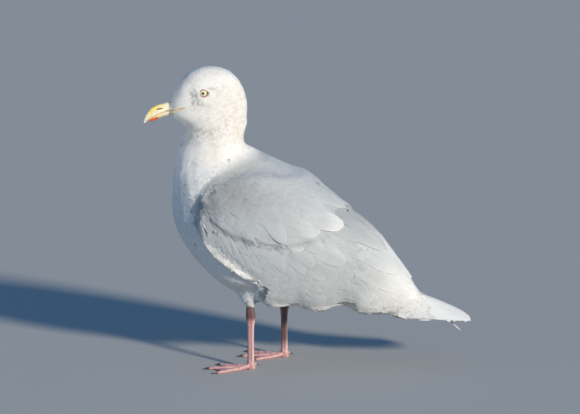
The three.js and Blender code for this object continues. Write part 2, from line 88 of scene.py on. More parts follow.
# ------------------------------------------------------------------ camera and lights
VIEW_ELEVATION = math.radians(12)
VIEW_MIDDLE = (47.2, 188.6)  # the drawing's x and z in the middle of the picture
VIEW_WIDTH = 0.684  # what the picture's width spans at the bird
CAMERA_DISTANCE = 9.8
SENSOR = 36.0
LAMP_AIM = (30, 180)
LAMP_DISTANCE = 2.4
SUN_FROM = Vector((0.60, -0.70, 0.38))
SUN_POWER = 3.8
SUN_COLOUR = (1.0, 0.92, 0.80)
SUN_SIZE = math.radians(7)
FILL_FROM = Vector((-0.8, -0.5, 0.35))
FILL_POWER = 2.0
FILL_COLOUR = (0.55, 0.78, 1.0)
FILL_SIZE = 2.0
FACE_AIM = (-72, 312)
FACE_FROM = Vector((-0.62, -0.50, 0.05))
FACE_POWER = 9
FACE_COLOUR = (1.0, 0.90, 0.76)
FACE_BEAM = math.radians(13)
SKY_COLOUR = (0.22, 0.50, 1.0, 1)
SKY_STRENGTH = 0.40
FLOOR_HALF = 30
FLOOR_COLOUR = (0.40, 0.40, 0.38)


def place_facing(thing, location, way):
    """Puts a camera or lamp into the scene, looking along way."""
    thing.location = location
    thing.rotation_mode = "QUATERNION"
    thing.rotation_quaternion = way.to_track_quat("-Z", "Y")
    bpy.context.scene.collection.objects.link(thing)


def make_camera():
    data = bpy.data.cameras.new("camera")
    data.sensor_width = SENSOR
    data.lens = SENSOR * CAMERA_DISTANCE / VIEW_WIDTH
    data.clip_start = 0.1
    data.clip_end = 100
    camera = bpy.data.objects.new("camera", data)
    back = Vector((0, -math.cos(VIEW_ELEVATION), math.sin(VIEW_ELEVATION)))
    place_facing(camera, Vector(at(*VIEW_MIDDLE)) + back * CAMERA_DISTANCE, -back)
    bpy.context.scene.camera = camera


def make_lamp(name, kind, power, colour, aim, away):
    """A lamp that shines on a place of the drawing, and lies away from it."""
    data = bpy.data.lights.new(name, kind)
    data.energy = power
    data.color = colour
    place_facing(bpy.data.objects.new(name, data), Vector(at(*aim)) + away, -away)
    return data


def make_lamps():
    """A warm sun, a cool fill, and a narrow lamp that opens the shade on the face."""
    away = SUN_FROM.normalized() * LAMP_DISTANCE
    sun = make_lamp("key", "SUN", SUN_POWER, SUN_COLOUR, LAMP_AIM, away)
    sun.angle = SUN_SIZE
    face = make_lamp("face", "SPOT", FACE_POWER, FACE_COLOUR, FACE_AIM, FACE_FROM)
    face.spot_size = FACE_BEAM
    face.spot_blend = 0.8
    face.shadow_soft_size = 0.08
    away = FILL_FROM.normalized() * LAMP_DISTANCE
    fill = make_lamp("fill", "AREA", FILL_POWER, FILL_COLOUR, LAMP_AIM, away)
    fill.size = FILL_SIZE


# ------------------------------------------------------------------ materials
STREAK_SCALE = 1.6  # streaks for each millimetre across a feather
STREAK_LOW, STREAK_HIGH = 0.90, 1.07  # the tone of the darkest and the palest streaks


def shader_of(material):
    return material.node_tree.nodes["Principled BSDF"]


def plain_material(name, colour, roughness):
    material = bpy.data.materials.new(name)
    material.use_nodes = True
    shader = shader_of(material)
    shader.inputs["Base Color"].default_value = (*colour, 1)
    shader.inputs["Roughness"].default_value = roughness
    return material


def add_node(material, kind, values):
    """A new node with some of its inputs set."""
    node = material.node_tree.nodes.new(kind)
    for name, value in values.items():
        node.inputs[name].default_value = value
    return node


def add_attribute(material, name):
    """A node that reads one of the mesh's own attributes, and is named like it."""
    node = add_node(material, "ShaderNodeAttribute", {})
    node.attribute_name = name
    node.name = name
    return node


def add_bump(material, height, strength, distance):
    """Fine relief from another node's output."""
    bump = add_node(material, "ShaderNodeBump", {"Strength": strength, "Distance": distance})
    links = material.node_tree.links
    links.new(height, bump.inputs["Height"])
    links.new(bump.outputs["Normal"], shader_of(material).inputs["Normal"])


def add_grain(material, kind, scale, strength, distance):
    """Fine relief from a texture in the piece's own space."""
    place = add_node(material, "ShaderNodeTexCoord", {})
    texture = add_node(material, kind, {"Scale": scale})
    material.node_tree.links.new(place.outputs["Object"], texture.inputs["Vector"])
    add_bump(material, texture.outputs[0], strength, distance)


def tinted_material(name, roughness):
    """A material whose colour is the mesh's own attribute named tint."""
    material = plain_material(name, (0.8, 0.8, 0.8), roughness)
    tint = add_attribute(material, "tint")
    colour = shader_of(material).inputs["Base Color"]
    material.node_tree.links.new(tint.outputs["Color"], colour)
    return material


def add_streaks(material):
    """Fine streaks along each feather, from the mesh's own attribute named strand."""
    links = material.node_tree.links
    strand = add_attribute(material, "strand")
    streaks = add_node(material, "ShaderNodeTexNoise", {"Scale": STREAK_SCALE, "Detail": 4})
    span = add_node(material, "ShaderNodeMapRange", {
        "From Min": 0.25, "From Max": 0.75, "To Min": STREAK_LOW, "To Max": STREAK_HIGH,
    })
    tone = add_node(material, "ShaderNodeVectorMath", {})
    tone.operation = "SCALE"
    tint = material.node_tree.nodes["tint"]
    links.new(strand.outputs["Vector"], streaks.inputs["Vector"])
    links.new(streaks.outputs[0], span.inputs["Value"])
    links.new(tint.outputs["Color"], tone.inputs[0])
    links.new(span.outputs[0], tone.inputs["Scale"])
    links.new(tone.outputs[0], shader_of(material).inputs["Base Color"])
    add_bump(material, streaks.outputs[0], strength=0.15, distance=0.0002)


def make_surround():
    """A plain pale floor under a blue sky."""
    world = bpy.data.worlds.new("surround")
    world.use_nodes = True
    background = world.node_tree.nodes["Background"]
    background.inputs["Color"].default_value = SKY_COLOUR
    background.inputs["Strength"].default_value = SKY_STRENGTH
    bpy.context.scene.world = world
    bpy.context.scene.view_settings.view_transform = "Standard"
    floor_data = bpy.data.meshes.new("floor")
    half = FLOOR_HALF
    corners = [(-half, -half, 0), (half, -half, 0), (half, half, 0), (-half, half, 0)]
    floor_data.from_pydata(corners, [], [(0, 1, 2, 3)])
    floor = bpy.data.objects.new("floor", floor_data)
    bpy.context.scene.collection.objects.link(floor)
    floor_data.materials.append(plain_material("floor_paint", FLOOR_COLOUR, roughness=0.9))


make_camera()
make_lamps()
make_surround()
FEATHER = tinted_material("feather", 0.72)
shader_of(FEATHER).inputs["Sheen Weight"].default_value = 0.08
add_streaks(FEATHER)
SKIN = tinted_material("down", 0.85)
add_grain(SKIN, "ShaderNodeTexNoise", scale=900, strength=0.35, distance=0.0006)
HORN = tinted_material("bill_horn", 0.34)
add_grain(HORN, "ShaderNodeTexNoise", scale=700, strength=0.12, distance=0.0003)
LEG_SKIN = tinted_material("leg_scales", 0.45)
add_grain(LEG_SKIN, "ShaderNodeTexVoronoi", scale=900, strength=0.35, distance=0.0003)
CLAW_HORN = tinted_material("claw_horn", 0.35)
EYE_WET = tinted_material("eye_wet", 0.06)
shader_of(EYE_WET).inputs["Coat Weight"].default_value = 0.6
LID_SKIN = tinted_material("lid_skin", 0.4)


# ------------------------------------------------------------------ mesh helpers
def smooth_step(low, high, value):
    share = np.clip((value - low) / (high - low), 0, 1)
    return share * share * (3 - 2 * share)


def unit(vectors):
    length = np.linalg.norm(vectors, axis=-1, keepdims=True)
    return vectors / np.maximum(length, 1e-12)


def vertex_normals(places, tris):
    a, b, c = (places[tris[:, k]] for k in range(3))
    face = np.repeat(np.cross(b - a, c - a), 3, axis=0)
    corner = tris.ravel()
    sums = [np.bincount(corner, face[:, k], minlength=len(places)) for k in range(3)]
    return unit(np.stack(sums, axis=1))


def add_piece(name, places, faces, material, tint, replaced=(), uv=None, strand=None):
    """Makes a mesh piece that rides on the bird. uv and strand have a row for each vertex."""
    data = bpy.data.meshes.new(name)
    data.from_pydata(np.asarray(places).tolist(), [], np.asarray(faces).tolist())
    colours = np.ones((len(places), 4), np.float32)
    colours[:, :3] = tint
    layer = data.attributes.new("tint", "FLOAT_COLOR", "POINT")
    layer.data.foreach_set("color", colours.ravel())
    if uv is not None:
        corners = np.empty(len(data.loops), np.int32)
        data.loops.foreach_get("vertex_index", corners)
        uv_map = data.uv_layers.new(name="OFBake")
        uv_map.data.foreach_set("uv", np.asarray(uv, np.float32)[corners].ravel())
    if strand is not None:
        lines = data.attributes.new("strand", "FLOAT_VECTOR", "POINT")
        lines.data.foreach_set("vector", np.asarray(strand, np.float32).ravel())
    data.shade_smooth()
    data.materials.append(material)
    piece = bpy.data.objects.new(name, data)
    bpy.context.scene.collection.objects.link(piece)
    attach(piece, "root")
    if replaced:
        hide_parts(*replaced)
    return piece


def mesh_arrays(data):
    """A mesh's corners and triangles."""
    data.calc_loop_triangles()
    places = np.empty(len(data.vertices) * 3)
    data.vertices.foreach_get("co", places)
    tris = np.empty(len(data.loop_triangles) * 3, np.int64)
    data.loop_triangles.foreach_get("vertices", tris)
    return places.reshape(-1, 3), tris.reshape(-1, 3)


def node_shape(name):
    """A CAD node's merged corners and triangles."""
    places, tris = mesh_arrays(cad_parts[name].data)
    merged, index = np.unique(np.round(places, 6), axis=0, return_inverse=True)
    return merged, index.reshape(-1)[tris]


def grid_faces(rows, columns, closed):
    """The triangles of a grid of places. If closed, the last column joins the first."""
    here = np.arange(columns if closed else columns - 1)
    after = (here + 1) % columns
    faces = []
    for row in range(rows - 1):
        a, b = row * columns + here, row * columns + after
        faces += [
            np.stack([a, b, b + columns], 1),
            np.stack([a, b + columns, a + columns], 1),
        ]
    return np.concatenate(faces)


def line_at(line, steps):
    """Places on a line through the points of a table; step 1 is its second point."""
    line = np.array(line, float)
    index = np.arange(len(line))
    return np.stack([np.interp(steps, index, line[:, k]) for k in range(2)], axis=1)


def near_spot(x, z, spot_x, spot_z, long, high):
    """1 in the middle of a soft spot, and less and less around it."""
    return np.exp(-(((x - spot_x) / long) ** 2) - ((z - spot_z) / high) ** 2)


# ------------------------------------------------------------------ the smooth form
EYE_BACK, EYE_DOWN = 1.4, 1.4  # the seen eye's place against the solid's
SOCKET_FILL = 0.78
EYE_X, EYE_Z = -54.1, 329.2
EYE_BARE = [7.5, 4.9]  # half length and half height of the bare place round an eye
EYE_BARE_AHEAD = 1.6  # how far its middle lies in front of the eye's
GAPE_FRONT = [-96, 305.6]  # where the cutting line leaves the face's feathers
GAPE_BACK = [-75, 312.2]  # the gape's corner
FLESH = ["head", "neck", "trunk", "tail"] + [
    f"{part}_{side}"
    for part in ("wing", "wing_tip", "shoulder", "thigh")
    for side in ("left", "right")
]
VOXEL = 2.0 * MM
GROWTH = 2.7 * MM  # the solids are grown by this to close the gaps between them
SMOOTHING_ROUNDS = 10
LEVELLING_ROUNDS = 110
LAST_ROUNDS = 3
SOFT_ROUNDS = 12
SKIN_ROUNDS = 2
BODY_DEPTH, TAIL_DEPTH = 4.0, 0.7  # how far the skin lies under the feather tips


def remeshed(places, tris, voxel):
    """The outer surface of overlapping solids as one even mesh of quads."""
    data = bpy.data.meshes.new("scratch")
    data.from_pydata(places.tolist(), [], tris.tolist())
    scratch = bpy.data.objects.new("scratch", data)
    bpy.context.scene.collection.objects.link(scratch)
    remesh = scratch.modifiers.new("even", "REMESH")
    remesh.mode = "VOXEL"
    remesh.voxel_size = voxel
    evaluated = scratch.evaluated_get(bpy.context.evaluated_depsgraph_get())
    made = bpy.data.meshes.new_from_object(evaluated)
    found = mesh_arrays(made)
    bpy.data.objects.remove(scratch)
    bpy.data.meshes.remove(data)
    bpy.data.meshes.remove(made)
    return found


def largest_piece(places, tris):
    label = np.arange(len(places))
    while True:
        low = label[tris].min(axis=1)
        new = label.copy()
        for k in range(3):
            np.minimum.at(new, tris[:, k], low)
        new = new[new]
        if (new == label).all():
            break
        label = new
    values, counts = np.unique(label, return_counts=True)
    kept = label == values[counts.argmax()]
    index = np.cumsum(kept) - 1
    return places[kept], index[tris[kept[tris[:, 0]]]]


def neighbour_means(tris, count):
    """A function that gives the mean of each corner's neighbours."""
    a = np.concatenate([tris[:, [0, 1, 2]].ravel(), tris[:, [1, 2, 0]].ravel()])
    b = np.concatenate([tris[:, [1, 2, 0]].ravel(), tris[:, [0, 1, 2]].ravel()])
    number = np.bincount(a, minlength=count)

    def means(places):
        sums = [np.bincount(a, places[b, k], minlength=count) for k in range(3)]
        return np.stack(sums, axis=1) / number[:, None]

    return means


def smoothed(places, tris, rounds, factors=(0.55, -0.57), share=1.0):
    """Evens out a surface, share saying how much at each corner."""
    means = neighbour_means(tris, len(places))
    for _ in range(rounds):
        for factor in factors:
            places = places + share * factor * (means(places) - places)
    return places


def levelled(places, tris, rounds, share):
    """Takes steps out of a surface, but keeps its broad curves."""
    once = smoothed(places, tris, rounds, (0.5,), share)
    twice = smoothed(once, tris, rounds, (0.5,), share)
    return 2 * once - twice


# The lower edge of the feathers that grow from the shoulder, over the wing: x, z.
SHOULDER_EDGE_X = [-63, -50, -36, -21, -3, 18, 41, 63, 80, 100, 116, 130]
SHOULDER_EDGE_Z = [216, 197, 181, 171, 163, 164, 160, 152, 168, 178, 192, 210]


def above_shoulder_edge(x, z):
    return z - np.interp(x, SHOULDER_EDGE_X, SHOULDER_EDGE_Z)


def even_share(places):
    """Where the solids' steps aren't the bird's own, and are smoothed away."""
    x, _, z = drawn(places).T
    mantle = smooth_step(8, 22, above_shoulder_edge(x, z)) * smooth_step(-45, -30, x)
    mantle = mantle * smooth_step(262, 248, z) * smooth_step(122, 108, x)
    rump = smooth_step(165, 180, x) * smooth_step(222, 208, x)
    corner = near_spot(x, z, -2, 92, 22, 16)
    bend = near_spot(x, z, -62, 187, 9, 13)
    return np.clip(mantle + rump + 0.4 * corner + 0.8 * bend, 0, 1)


# How far the folded wing's lower edge hangs under the solids' own edge, by x.
HANG_X = [10, 21, 35, 54, 69, 80, 94, 109, 120, 131, 153, 172, 190, 205]
HANG = [0, 4.5, 3.0, 1.5, 7.5, 9.8, 6.8, 2.6, 7.0, 11.0, 7.5, 6.4, 3.0, 0]
HANG_Z = [122, 90]  # it sets in between these heights
# Soft swellings of the face and the hollow before the shoulder feathers: x, z, length,
# height, how far out.
SWELLINGS = [[-72, 297, 13, 7, 1.8], [-58, 306, 12, 8, 0.8], [-48, 201, 9, 15, -3.0]]
# The edge of the breast feathers that lie over the wing's front, from the top down.
LOBE_EDGE = [
    [-71, 190], [-67, 178], [-60, 167], [-51, 157], [-41, 148.5], [-32, 141],
    [-23, 134.5], [-14, 129], [-6, 124.5], [1, 119.5], [5.5, 114], [6, 106],
]
LOBE_HIGH = 8.0  # how far they stand out beside the wing
LINE_STEPS = 120


def past_line(line, x, z):
    """How far places lie to the left of a line's course, and where along it, 0 to 1."""
    course = line_at(line, np.linspace(0, len(line) - 1, LINE_STEPS))
    ahead = unit(np.gradient(course, axis=0))
    away = np.stack([x, z], axis=1)[:, None] - course[None]
    near = np.linalg.norm(away, axis=2).argmin(axis=1)
    own = away[np.arange(len(x)), near]
    turn = ahead[near]
    cross = turn[:, 0] * own[:, 1] - turn[:, 1] * own[:, 0]
    return np.linalg.norm(own, axis=1) * np.sign(cross), near / (LINE_STEPS - 1)


def curved_between(x, steps, values):
    """Interpolation that eases in and out of each step."""
    steps, values = np.array(steps, float), np.array(values, float)
    low = np.clip(np.searchsorted(steps, x) - 1, 0, len(steps) - 2)
    share = smooth_step(0, 1, (x - steps[low]) / (steps[low + 1] - steps[low]))
    return values[low] + (values[low + 1] - values[low]) * share


def hung(places, normals):
    """The form with its wings' lower edges let down, breast and cheeks filled out."""
    x, _, z = drawn(places).T
    drop = curved_between(x, HANG_X, HANG) * smooth_step(*HANG_Z, z)
    behind, share = past_line(LOBE_EDGE, x, z)
    lobe = smooth_step(1.0, -19, behind) * smooth_step(-50, -22, behind)
    swell = LOBE_HIGH * lobe * smooth_step(0.2, 0.55, share) * smooth_step(101, 109, z)
    for *spot, out in SWELLINGS:
        swell += out * near_spot(x, z, *spot)
    sideways = normals * [0, 1, 0] * (swell * MM)[:, None]
    return places + sideways - np.array([0, 0, MM]) * drop[:, None]


def filling(places):
    """A smaller ball that fills an eye's socket, so that the face is whole under it."""
    middle = 0.5 * (places.min(axis=0) + places.max(axis=0))
    shifted = middle + np.array([EYE_BACK, 0, -EYE_DOWN]) * MM
    return shifted + (places - middle) * SOCKET_FILL


def make_form():
    """The bird's outline to its feather tips, as one smooth closed surface."""
    all_places, all_tris, start = [], [], 0
    for name in FLESH + ["eye_left", "eye_right"]:
        places, tris = node_shape(name)
        if name not in FLESH:
            places = filling(places)
        all_places.append(places + GROWTH * vertex_normals(places, tris))
        all_tris.append(tris + start)
        start += len(places)
    places, tris = np.concatenate(all_places), np.concatenate(all_tris)
    places, tris = largest_piece(*remeshed(places, tris, VOXEL))
    places = smoothed(places, tris, SMOOTHING_ROUNDS)
    places = places - GROWTH * vertex_normals(places, tris)
    places = levelled(places, tris, LEVELLING_ROUNDS, even_share(places)[:, None])
    places = hung(places, vertex_normals(places, tris))
    return smoothed(places, tris, LAST_ROUNDS), tris


form, form_tris = make_form()
form_normals = vertex_normals(form, form_tris)
soft_normals = vertex_normals(smoothed(form, form_tris, SOFT_ROUNDS), form_tris)


def coat_depth(places):
    """How far the skin lies under the feather tips, in millimetres."""
    x, _, z = drawn(places).T
    on_head = smooth_step(262, 300, z) * smooth_step(20, -10, x)
    face = smooth_step(-60, -92, x) * on_head
    on_back = smooth_step(-20, 10, x) * smooth_step(95, 115, z)
    depth = BODY_DEPTH - 1.9 * on_head - 1.0 * face - 1.2 * on_back * (1 - on_head)
    on_tail = smooth_step(165, 205, x)
    return depth * (1 - on_tail) + TAIL_DEPTH * on_tail


skin = form - form_normals * (coat_depth(form) * MM)[:, None]
skin = smoothed(skin, form_tris, SKIN_ROUNDS)
skin_object = add_piece("skin", skin, form_tris, SKIN, (0.8, 0.8, 0.8), FLESH)


def unwrap(piece):
    """Unwraps a piece into its OFBake map, and returns where the map puts the three
    corners of each triangle."""
    piece.data.uv_layers.new(name="OFBake")
    bpy.context.view_layer.objects.active = piece
    piece.select_set(True)
    bpy.ops.object.mode_set(mode="EDIT")
    bpy.ops.mesh.select_all(action="SELECT")
    bpy.ops.uv.smart_project(angle_limit=math.radians(66), island_margin=0.003)
    bpy.ops.object.mode_set(mode="OBJECT")
    piece.select_set(False)
    places = np.empty(len(piece.data.loops) * 2, np.float32)
    piece.data.uv_layers["OFBake"].data.foreach_get("uv", places)
    return places.reshape(-1, 3, 2)


skin_uv = unwrap(skin_object)
form_tree = BVHTree.FromPolygons(form.tolist(), form_tris.tolist())


# ------------------------------------------------------------------ places on the form
SLOPE_START = 0.3  # rays down start this high, and rays up this low
BESIDE = 150  # rays across start this far from the bird's middle
NEAR_SIDE = 0.12  # how far they go when only the near side counts
LOWEST_EDGE, HIGHEST_EDGE = 40.0, 110.0  # where the wing's lower edge is looked for


def interpolated(values, tri, share):
    """Values of a triangle's corners at places inside it."""
    return (values[form_tris[tri]] * share[..., None]).sum(axis=1)


def shares_in(tri, places):
    """A place's weights for the three corners of the form's triangle it lies in."""
    a, b, c = (form[form_tris[tri, k]] for k in range(3))
    across, along, out = b - a, c - a, places - a
    d00, d01 = (across * across).sum(1), (across * along).sum(1)
    d11, d20 = (along * along).sum(1), (out * across).sum(1)
    d21 = (out * along).sum(1)
    scale = np.maximum(d00 * d11 - d01 * d01, 1e-20)
    v = (d11 * d20 - d01 * d21) / scale
    w = (d00 * d21 - d01 * d20) / scale
    found = np.clip(np.stack([1 - v - w, v, w], axis=1), 0, 1)
    return found / found.sum(axis=1, keepdims=True)


def found_places(hits):
    """The places of a tree's hits, their triangles, their weights and smooth normals."""
    spots = np.array([hit[0][:] for hit in hits])
    tri = np.array([hit[2] for hit in hits])
    share = shares_in(tri, spots)
    return spots, tri, share, unit(interpolated(form_normals, tri, share))


def on_form(places):
    """The form's nearest places."""
    return found_places([form_tree.find_nearest(Vector(p)) for p in places.reshape(-1, 3)])


def on_slope(places, up):
    """The form's outer places straight above or below, or else the nearest."""
    hits = []
    for place in places.reshape(-1, 3):
        start = Vector((place[0], place[1], SLOPE_START * up))
        hit = form_tree.ray_cast(start, Vector((0, 0, -up)))
        hits.append(form_tree.find_nearest(Vector(place)) if hit[0] is None else hit)
    return found_places(hits)


def beside(x, z, side):
    """The form's place that a side view shows at x, z."""
    start = Vector(at(x, z, side * BESIDE))
    hit = form_tree.ray_cast(start, Vector((0, -side, 0)))[0]
    if hit is None:
        hit = form_tree.find_nearest(Vector(at(x, z, side * 12)))[0]
    return np.array(hit)


def lower_edge(x, side):
    """The height of the lowest place of the form that a side view shows at x."""
    low, high = LOWEST_EDGE, HIGHEST_EDGE
    while high - low > 0.2:
        middle = 0.5 * (low + high)
        start = Vector(at(x, middle, side * BESIDE))
        if form_tree.ray_cast(start, Vector((0, -side, 0)), NEAR_SIDE)[0] is None:
            low = middle
        else:
            high = middle
    return high


def uv_at(tri, share):
    return (skin_uv[tri] * share[..., None]).sum(axis=1)


# ------------------------------------------------------------------ lie of the feathers
# The line that feathers follow, from the bill through head and body to the tail: x, z.
LIE = [
    [-97, 309], [-75, 318], [-50, 323], [-38, 309], [-36, 285], [-38, 255],
    [-28, 215], [0, 182], [40, 152], [90, 122], [140, 97], [190, 76], [262, 52],
]
LIE_BLEND = 16.0  # millimetres over which neighbouring stretches of it blend
LIE_STEPS = 80
# How steeply the feathers of the folded wing hang, by x: degrees under the horizontal.
WING_SLANT_X = [-60, -20, 20, 60, 110, 150, 200]
WING_SLANT = [74, 66, 56, 45, 33, 30, 30]
BACK_SLANT = [62, 52, 42, 30, 24, 24, 26]
BACK_Z = [165, 200]  # the back's slant takes over between these heights


def lie_of(places, normals, on_wing):
    """The direction in which feathers lie at some places, along the surface."""
    course = line_at(LIE, np.linspace(0, len(LIE) - 1, LIE_STEPS))
    ahead = unit(np.gradient(course, axis=0))
    spots = drawn(places)[:, [0, 2]]
    away = np.linalg.norm(spots[:, None] - course[None], axis=2)
    weight = np.exp(-(away - away.min(axis=1, keepdims=True)) / LIE_BLEND)
    way = unit(weight @ ahead)
    low_slant = np.interp(spots[:, 0], WING_SLANT_X, WING_SLANT)
    high_slant = np.interp(spots[:, 0], WING_SLANT_X, BACK_SLANT)
    slant = low_slant + (high_slant - low_slant) * smooth_step(*BACK_Z, spots[:, 1])
    slant = np.radians(slant)
    wing_way = np.stack([np.cos(slant), -np.sin(slant)], axis=1)
    way = way * (1 - on_wing[:, None]) + wing_way * on_wing[:, None]
    full = np.stack([way[:, 0], np.zeros(len(way)), way[:, 1]], axis=1)
    return unit(full - normals * (full * normals).sum(axis=1, keepdims=True))


def turned(way, normals, spread):
    """Directions along the surface, each turned a little at random."""
    aside = np.cross(normals, way)
    return unit(way + aside * rng.normal(0, spread, len(way))[:, None])


# ------------------------------------------------------------------ markings
WHITE = np.array([0.875, 0.86, 0.81])
GREY = np.array([0.465, 0.49, 0.49])
WING_WHITE = np.array([0.73, 0.725, 0.69])  # the long feathers of wing and tail
BUFF = np.array([0.62, 0.50, 0.36])
BROWN = np.array([0.30, 0.255, 0.22])
PALEST = 0.92  # no feather is brighter than this
# The edge between the white breast and the grey back and wing, from the nape down.
GREY_EDGE = [
    [18, 262], [10, 255], [-8, 250], [-26, 242], [-42, 232], [-55, 219], [-64, 206],
    [-70, 190], [-65, 175], [-50, 156], [-30, 138], [-11, 124], [2, 115], [6, 106],
    [6, 90],
]
WING_EDGE_X = [-20, 8, 60, 110, 150, 175]  # the wing's lower edge, by x
WING_EDGE_Z = [96, 86, 79, 76, 66, 74]
# Smudges and painted shade, the same on each side: x, z, length, height, strength, and tone,
# which is 0 for brown, 1 for buff and negative for darker than brown. The spot under the chin
# at x -57 and the one on the thigh at x 3 are painted shade.
SMUDGES_AND_PAINTED_SHADE = [
    [-65.0, 327, 4.2, 8, 1.1, -0.4], [-62, 319, 5, 3.5, 0.8, -0.3],
    [-53, 315, 9, 3, 0.5, 0.3], [-44, 334.5, 5, 1.6, 0.6, 0.0],
    [-70, 344, 9, 6, 0.30, 0.05], [-50, 352, 18, 5, 0.22, 0.3],
    [-63, 310, 14, 2.4, 0.28, 0.4], [-30, 330, 14, 12, 0.16, 0.6],
    [-16, 300, 16, 44, 0.42, 1.0],
    [-82, 331, 5, 10, 0.12, 0.1], [-57, 284, 15, 5.5, 0.62, 0.15],
    # the second spot here is painted shade under the chin
    [-64, 272, 9, 8, 0.38, 0.1], [-42, 270, 9, 26, 0.40, 0.85],
    [-60, 255, 10, 14, 0.18, 0.4], [-28, 292, 14, 14, 0.16, 0.9],
    [-80, 215, 8, 14, 0.20, 0.1], [-40, 310, 20, 18, 0.10, 0.7],
    # the second spot here is painted shade on the thigh
    [-62, 297, 12, 4, 0.20, 0.3], [3, 84, 9, 10, 0.42, 0.1],
]


def right_of_edge(x, z):
    """How far places lie behind the grey edge, in millimetres."""
    return past_line(GREY_EDGE, x, z)[0]


def wing_share(places):
    """1 on the folded wing and back, 0 on the white plumage in front and below."""
    x, y, z = drawn(places).T
    soft = 1.5 + 6 * smooth_step(225, 250, z)
    behind = smooth_step(-1, 1, right_of_edge(x, z) / soft)
    low_edge = np.interp(x, WING_EDGE_X, WING_EDGE_Z)
    above = smooth_step(low_edge - 3, low_edge + 2, z)
    sideways = smooth_step(22, 34, np.abs(y) + 60 * smooth_step(100, 135, z))
    before_tail = smooth_step(200, 196, x)
    return behind * above * sideways * before_tail


def greyness(x, z):
    """How grey the wing's feathers are: paler towards the tips of the long ones."""
    behind = x + 0.3 * (120 - z)
    return 1 - 0.82 * smooth_step(132, 180, behind)


# Painted shade: where the grey is darkened as if lying in shade, on the shoulder, the mantle,
# the long inner feathers and the hollow before the shoulder feathers: x, z, length, height,
# strength.
PAINTED_SHADE_SPOTS = [
    [-22, 226, 40, 30, 0.36], [40, 205, 60, 26, 0.18], [142, 168, 26, 24, 0.32],
    [-46, 201, 9, 15, 0.24],
]


def grey_with_painted_shade(x, z):
    """The grey of the back and wings, with painted shade on the shoulder, the mantle and the
    long inner feathers.
    """
    tone = np.ones(np.shape(x))
    # each spot darkens the grey by its strength, as painted shade
    for *spot, strength in PAINTED_SHADE_SPOTS:
        tone = tone - strength * near_spot(x, z, *spot)
    return GREY * tone[..., None]


def wing_colour(x, z):
    """The colour of the large feathers: grey in front, and white towards the rear; the grey
    holds painted shade.
    """
    return WING_WHITE + (grey_with_painted_shade(x, z) - WING_WHITE) * greyness(x, z)[..., None]


def speckle(places, scale, seed):
    """Smooth random values, about -1 to 1, that change from place to place."""
    shifted = [Vector((p * scale).tolist()) + Vector((seed, seed, seed)) for p in places]
    return np.array([noise.noise(p) for p in shifted])


def plumage_colour(places):
    """The colour of the plumage at some places, for skin and coat alike."""
    x, _, z = drawn(places).T
    grey = wing_share(places) * greyness(x, z)
    on_rear = smooth_step(110, 170, x)[:, None]
    colour = WHITE + (WING_WHITE - WHITE) * on_rear
    # the back's grey here holds painted shade on the shoulder, mantle and long inner feathers
    colour = colour + (grey_with_painted_shade(x, z) - colour) * grey[:, None]
    coarse = speckle(places, 160, 3)
    fine = speckle(places, 330, 9)
    broken = np.clip(0.75 + 1.1 * fine + 0.6 * coarse, 0, 1.8)
    # smudges, and painted shade under the chin and on the thigh
    for *spot, strength, tone in SMUDGES_AND_PAINTED_SHADE:
        amount = np.clip(strength * near_spot(x, z, *spot) * broken, 0, 0.85)[:, None]
        mark = BROWN + (BUFF - BROWN) * tone
        colour = colour + (mark - colour) * amount
    on_head = smooth_step(255, 275, z) * smooth_step(10, -5, x)
    fleck = np.clip((fine - 0.16) * 2.2, 0, 1) * on_head * 0.14
    colour = colour + (BROWN - colour) * fleck[:, None]
    on_mantle = grey * np.clip(0.5 + 0.9 * coarse, 0, 1)
    return colour * (1 - 0.05 * on_mantle[:, None])


skin_colour = np.ones((len(form), 4), np.float32)
skin_colour[:, :3] = plumage_colour(form)
skin_object.data.attributes["tint"].data.foreach_set("color", skin_colour.ravel())

# ------------------------------------------------------------------ tufts
TUFT_ROWS = [0.0, 0.22, 0.48, 0.76]
TUFT_WIDTHS = [0.10, 0.62, 0.95, 1.0]
TUFT_CORNERS = [1, 3, 5, 7]
FINGERS = 6
PATCH = 0.003  # size of a tuft's patch in the OFBake map
FOLD_LIMIT = 0.45  # a tuft that would lie round a sharper bend than this is left out
TUFT_SPREAD = 0.13  # how much neighbours differ in direction
FINGER_SPREAD = 0.07  # how much the loose tips differ in length
TUFT_LONG = (0.85, 1.2)  # how much neighbours differ in length, width and lift
TUFT_WIDE = (0.85, 1.15)
TUFT_LIFT = (0.5, 1.3)
TUFT_SHADE = 0.025
BODY_TUFT, HEAD_TUFT = 15.0, 6.2  # their lengths in millimetres
TUFT_CURL = 0.35  # how far a tuft's sides bend down, as a share of its half width
MIDDLE_SINK = 0.12  # how far a tuft's middle lies under the form
BODY_TOP = 200  # below this a white tuft keeps its root's colour
PIECE_TRIANGLES = 180_000
BILL_START = -97.8  # the face's feathers begin here


def tuft_template():
    """Places (along, across) of a tuft's corners, their faces, and its loose tips."""
    places, rows = [], []
    for along, width, count in zip(TUFT_ROWS, TUFT_WIDTHS, TUFT_CORNERS):
        rows.append(range(len(places), len(places) + count))
        across = [0.0] if count == 1 else np.linspace(-1, 1, count)
        places += [(along, width * a) for a in across]
    faces = []
    for low, high in zip(rows, rows[1:]):
        if len(low) == 1:
            faces += [(low[0], high[k], high[k + 1]) for k in range(len(high) - 1)]
            continue
        for k in range(len(low) - 1):
            faces.append((low[k], high[k + 1], low[k + 1]))
            faces.append((high[k + 1], high[k + 2], low[k + 1]))
            if k == 0:
                faces.append((low[k], high[k], high[k + 1]))
        faces.append((low[-1], high[-2], high[-1]))
    fingers = []
    edge = rows[-1]
    for k in range(FINGERS):
        across = (k + 0.5) / FINGERS * 2 - 1
        fingers.append(len(places))
        faces.append((edge[k], len(places), edge[k + 1]))
        places.append((1.06 - 0.2 * across * across, across * 0.92))
    return np.array(places), np.array(faces), np.array(fingers)


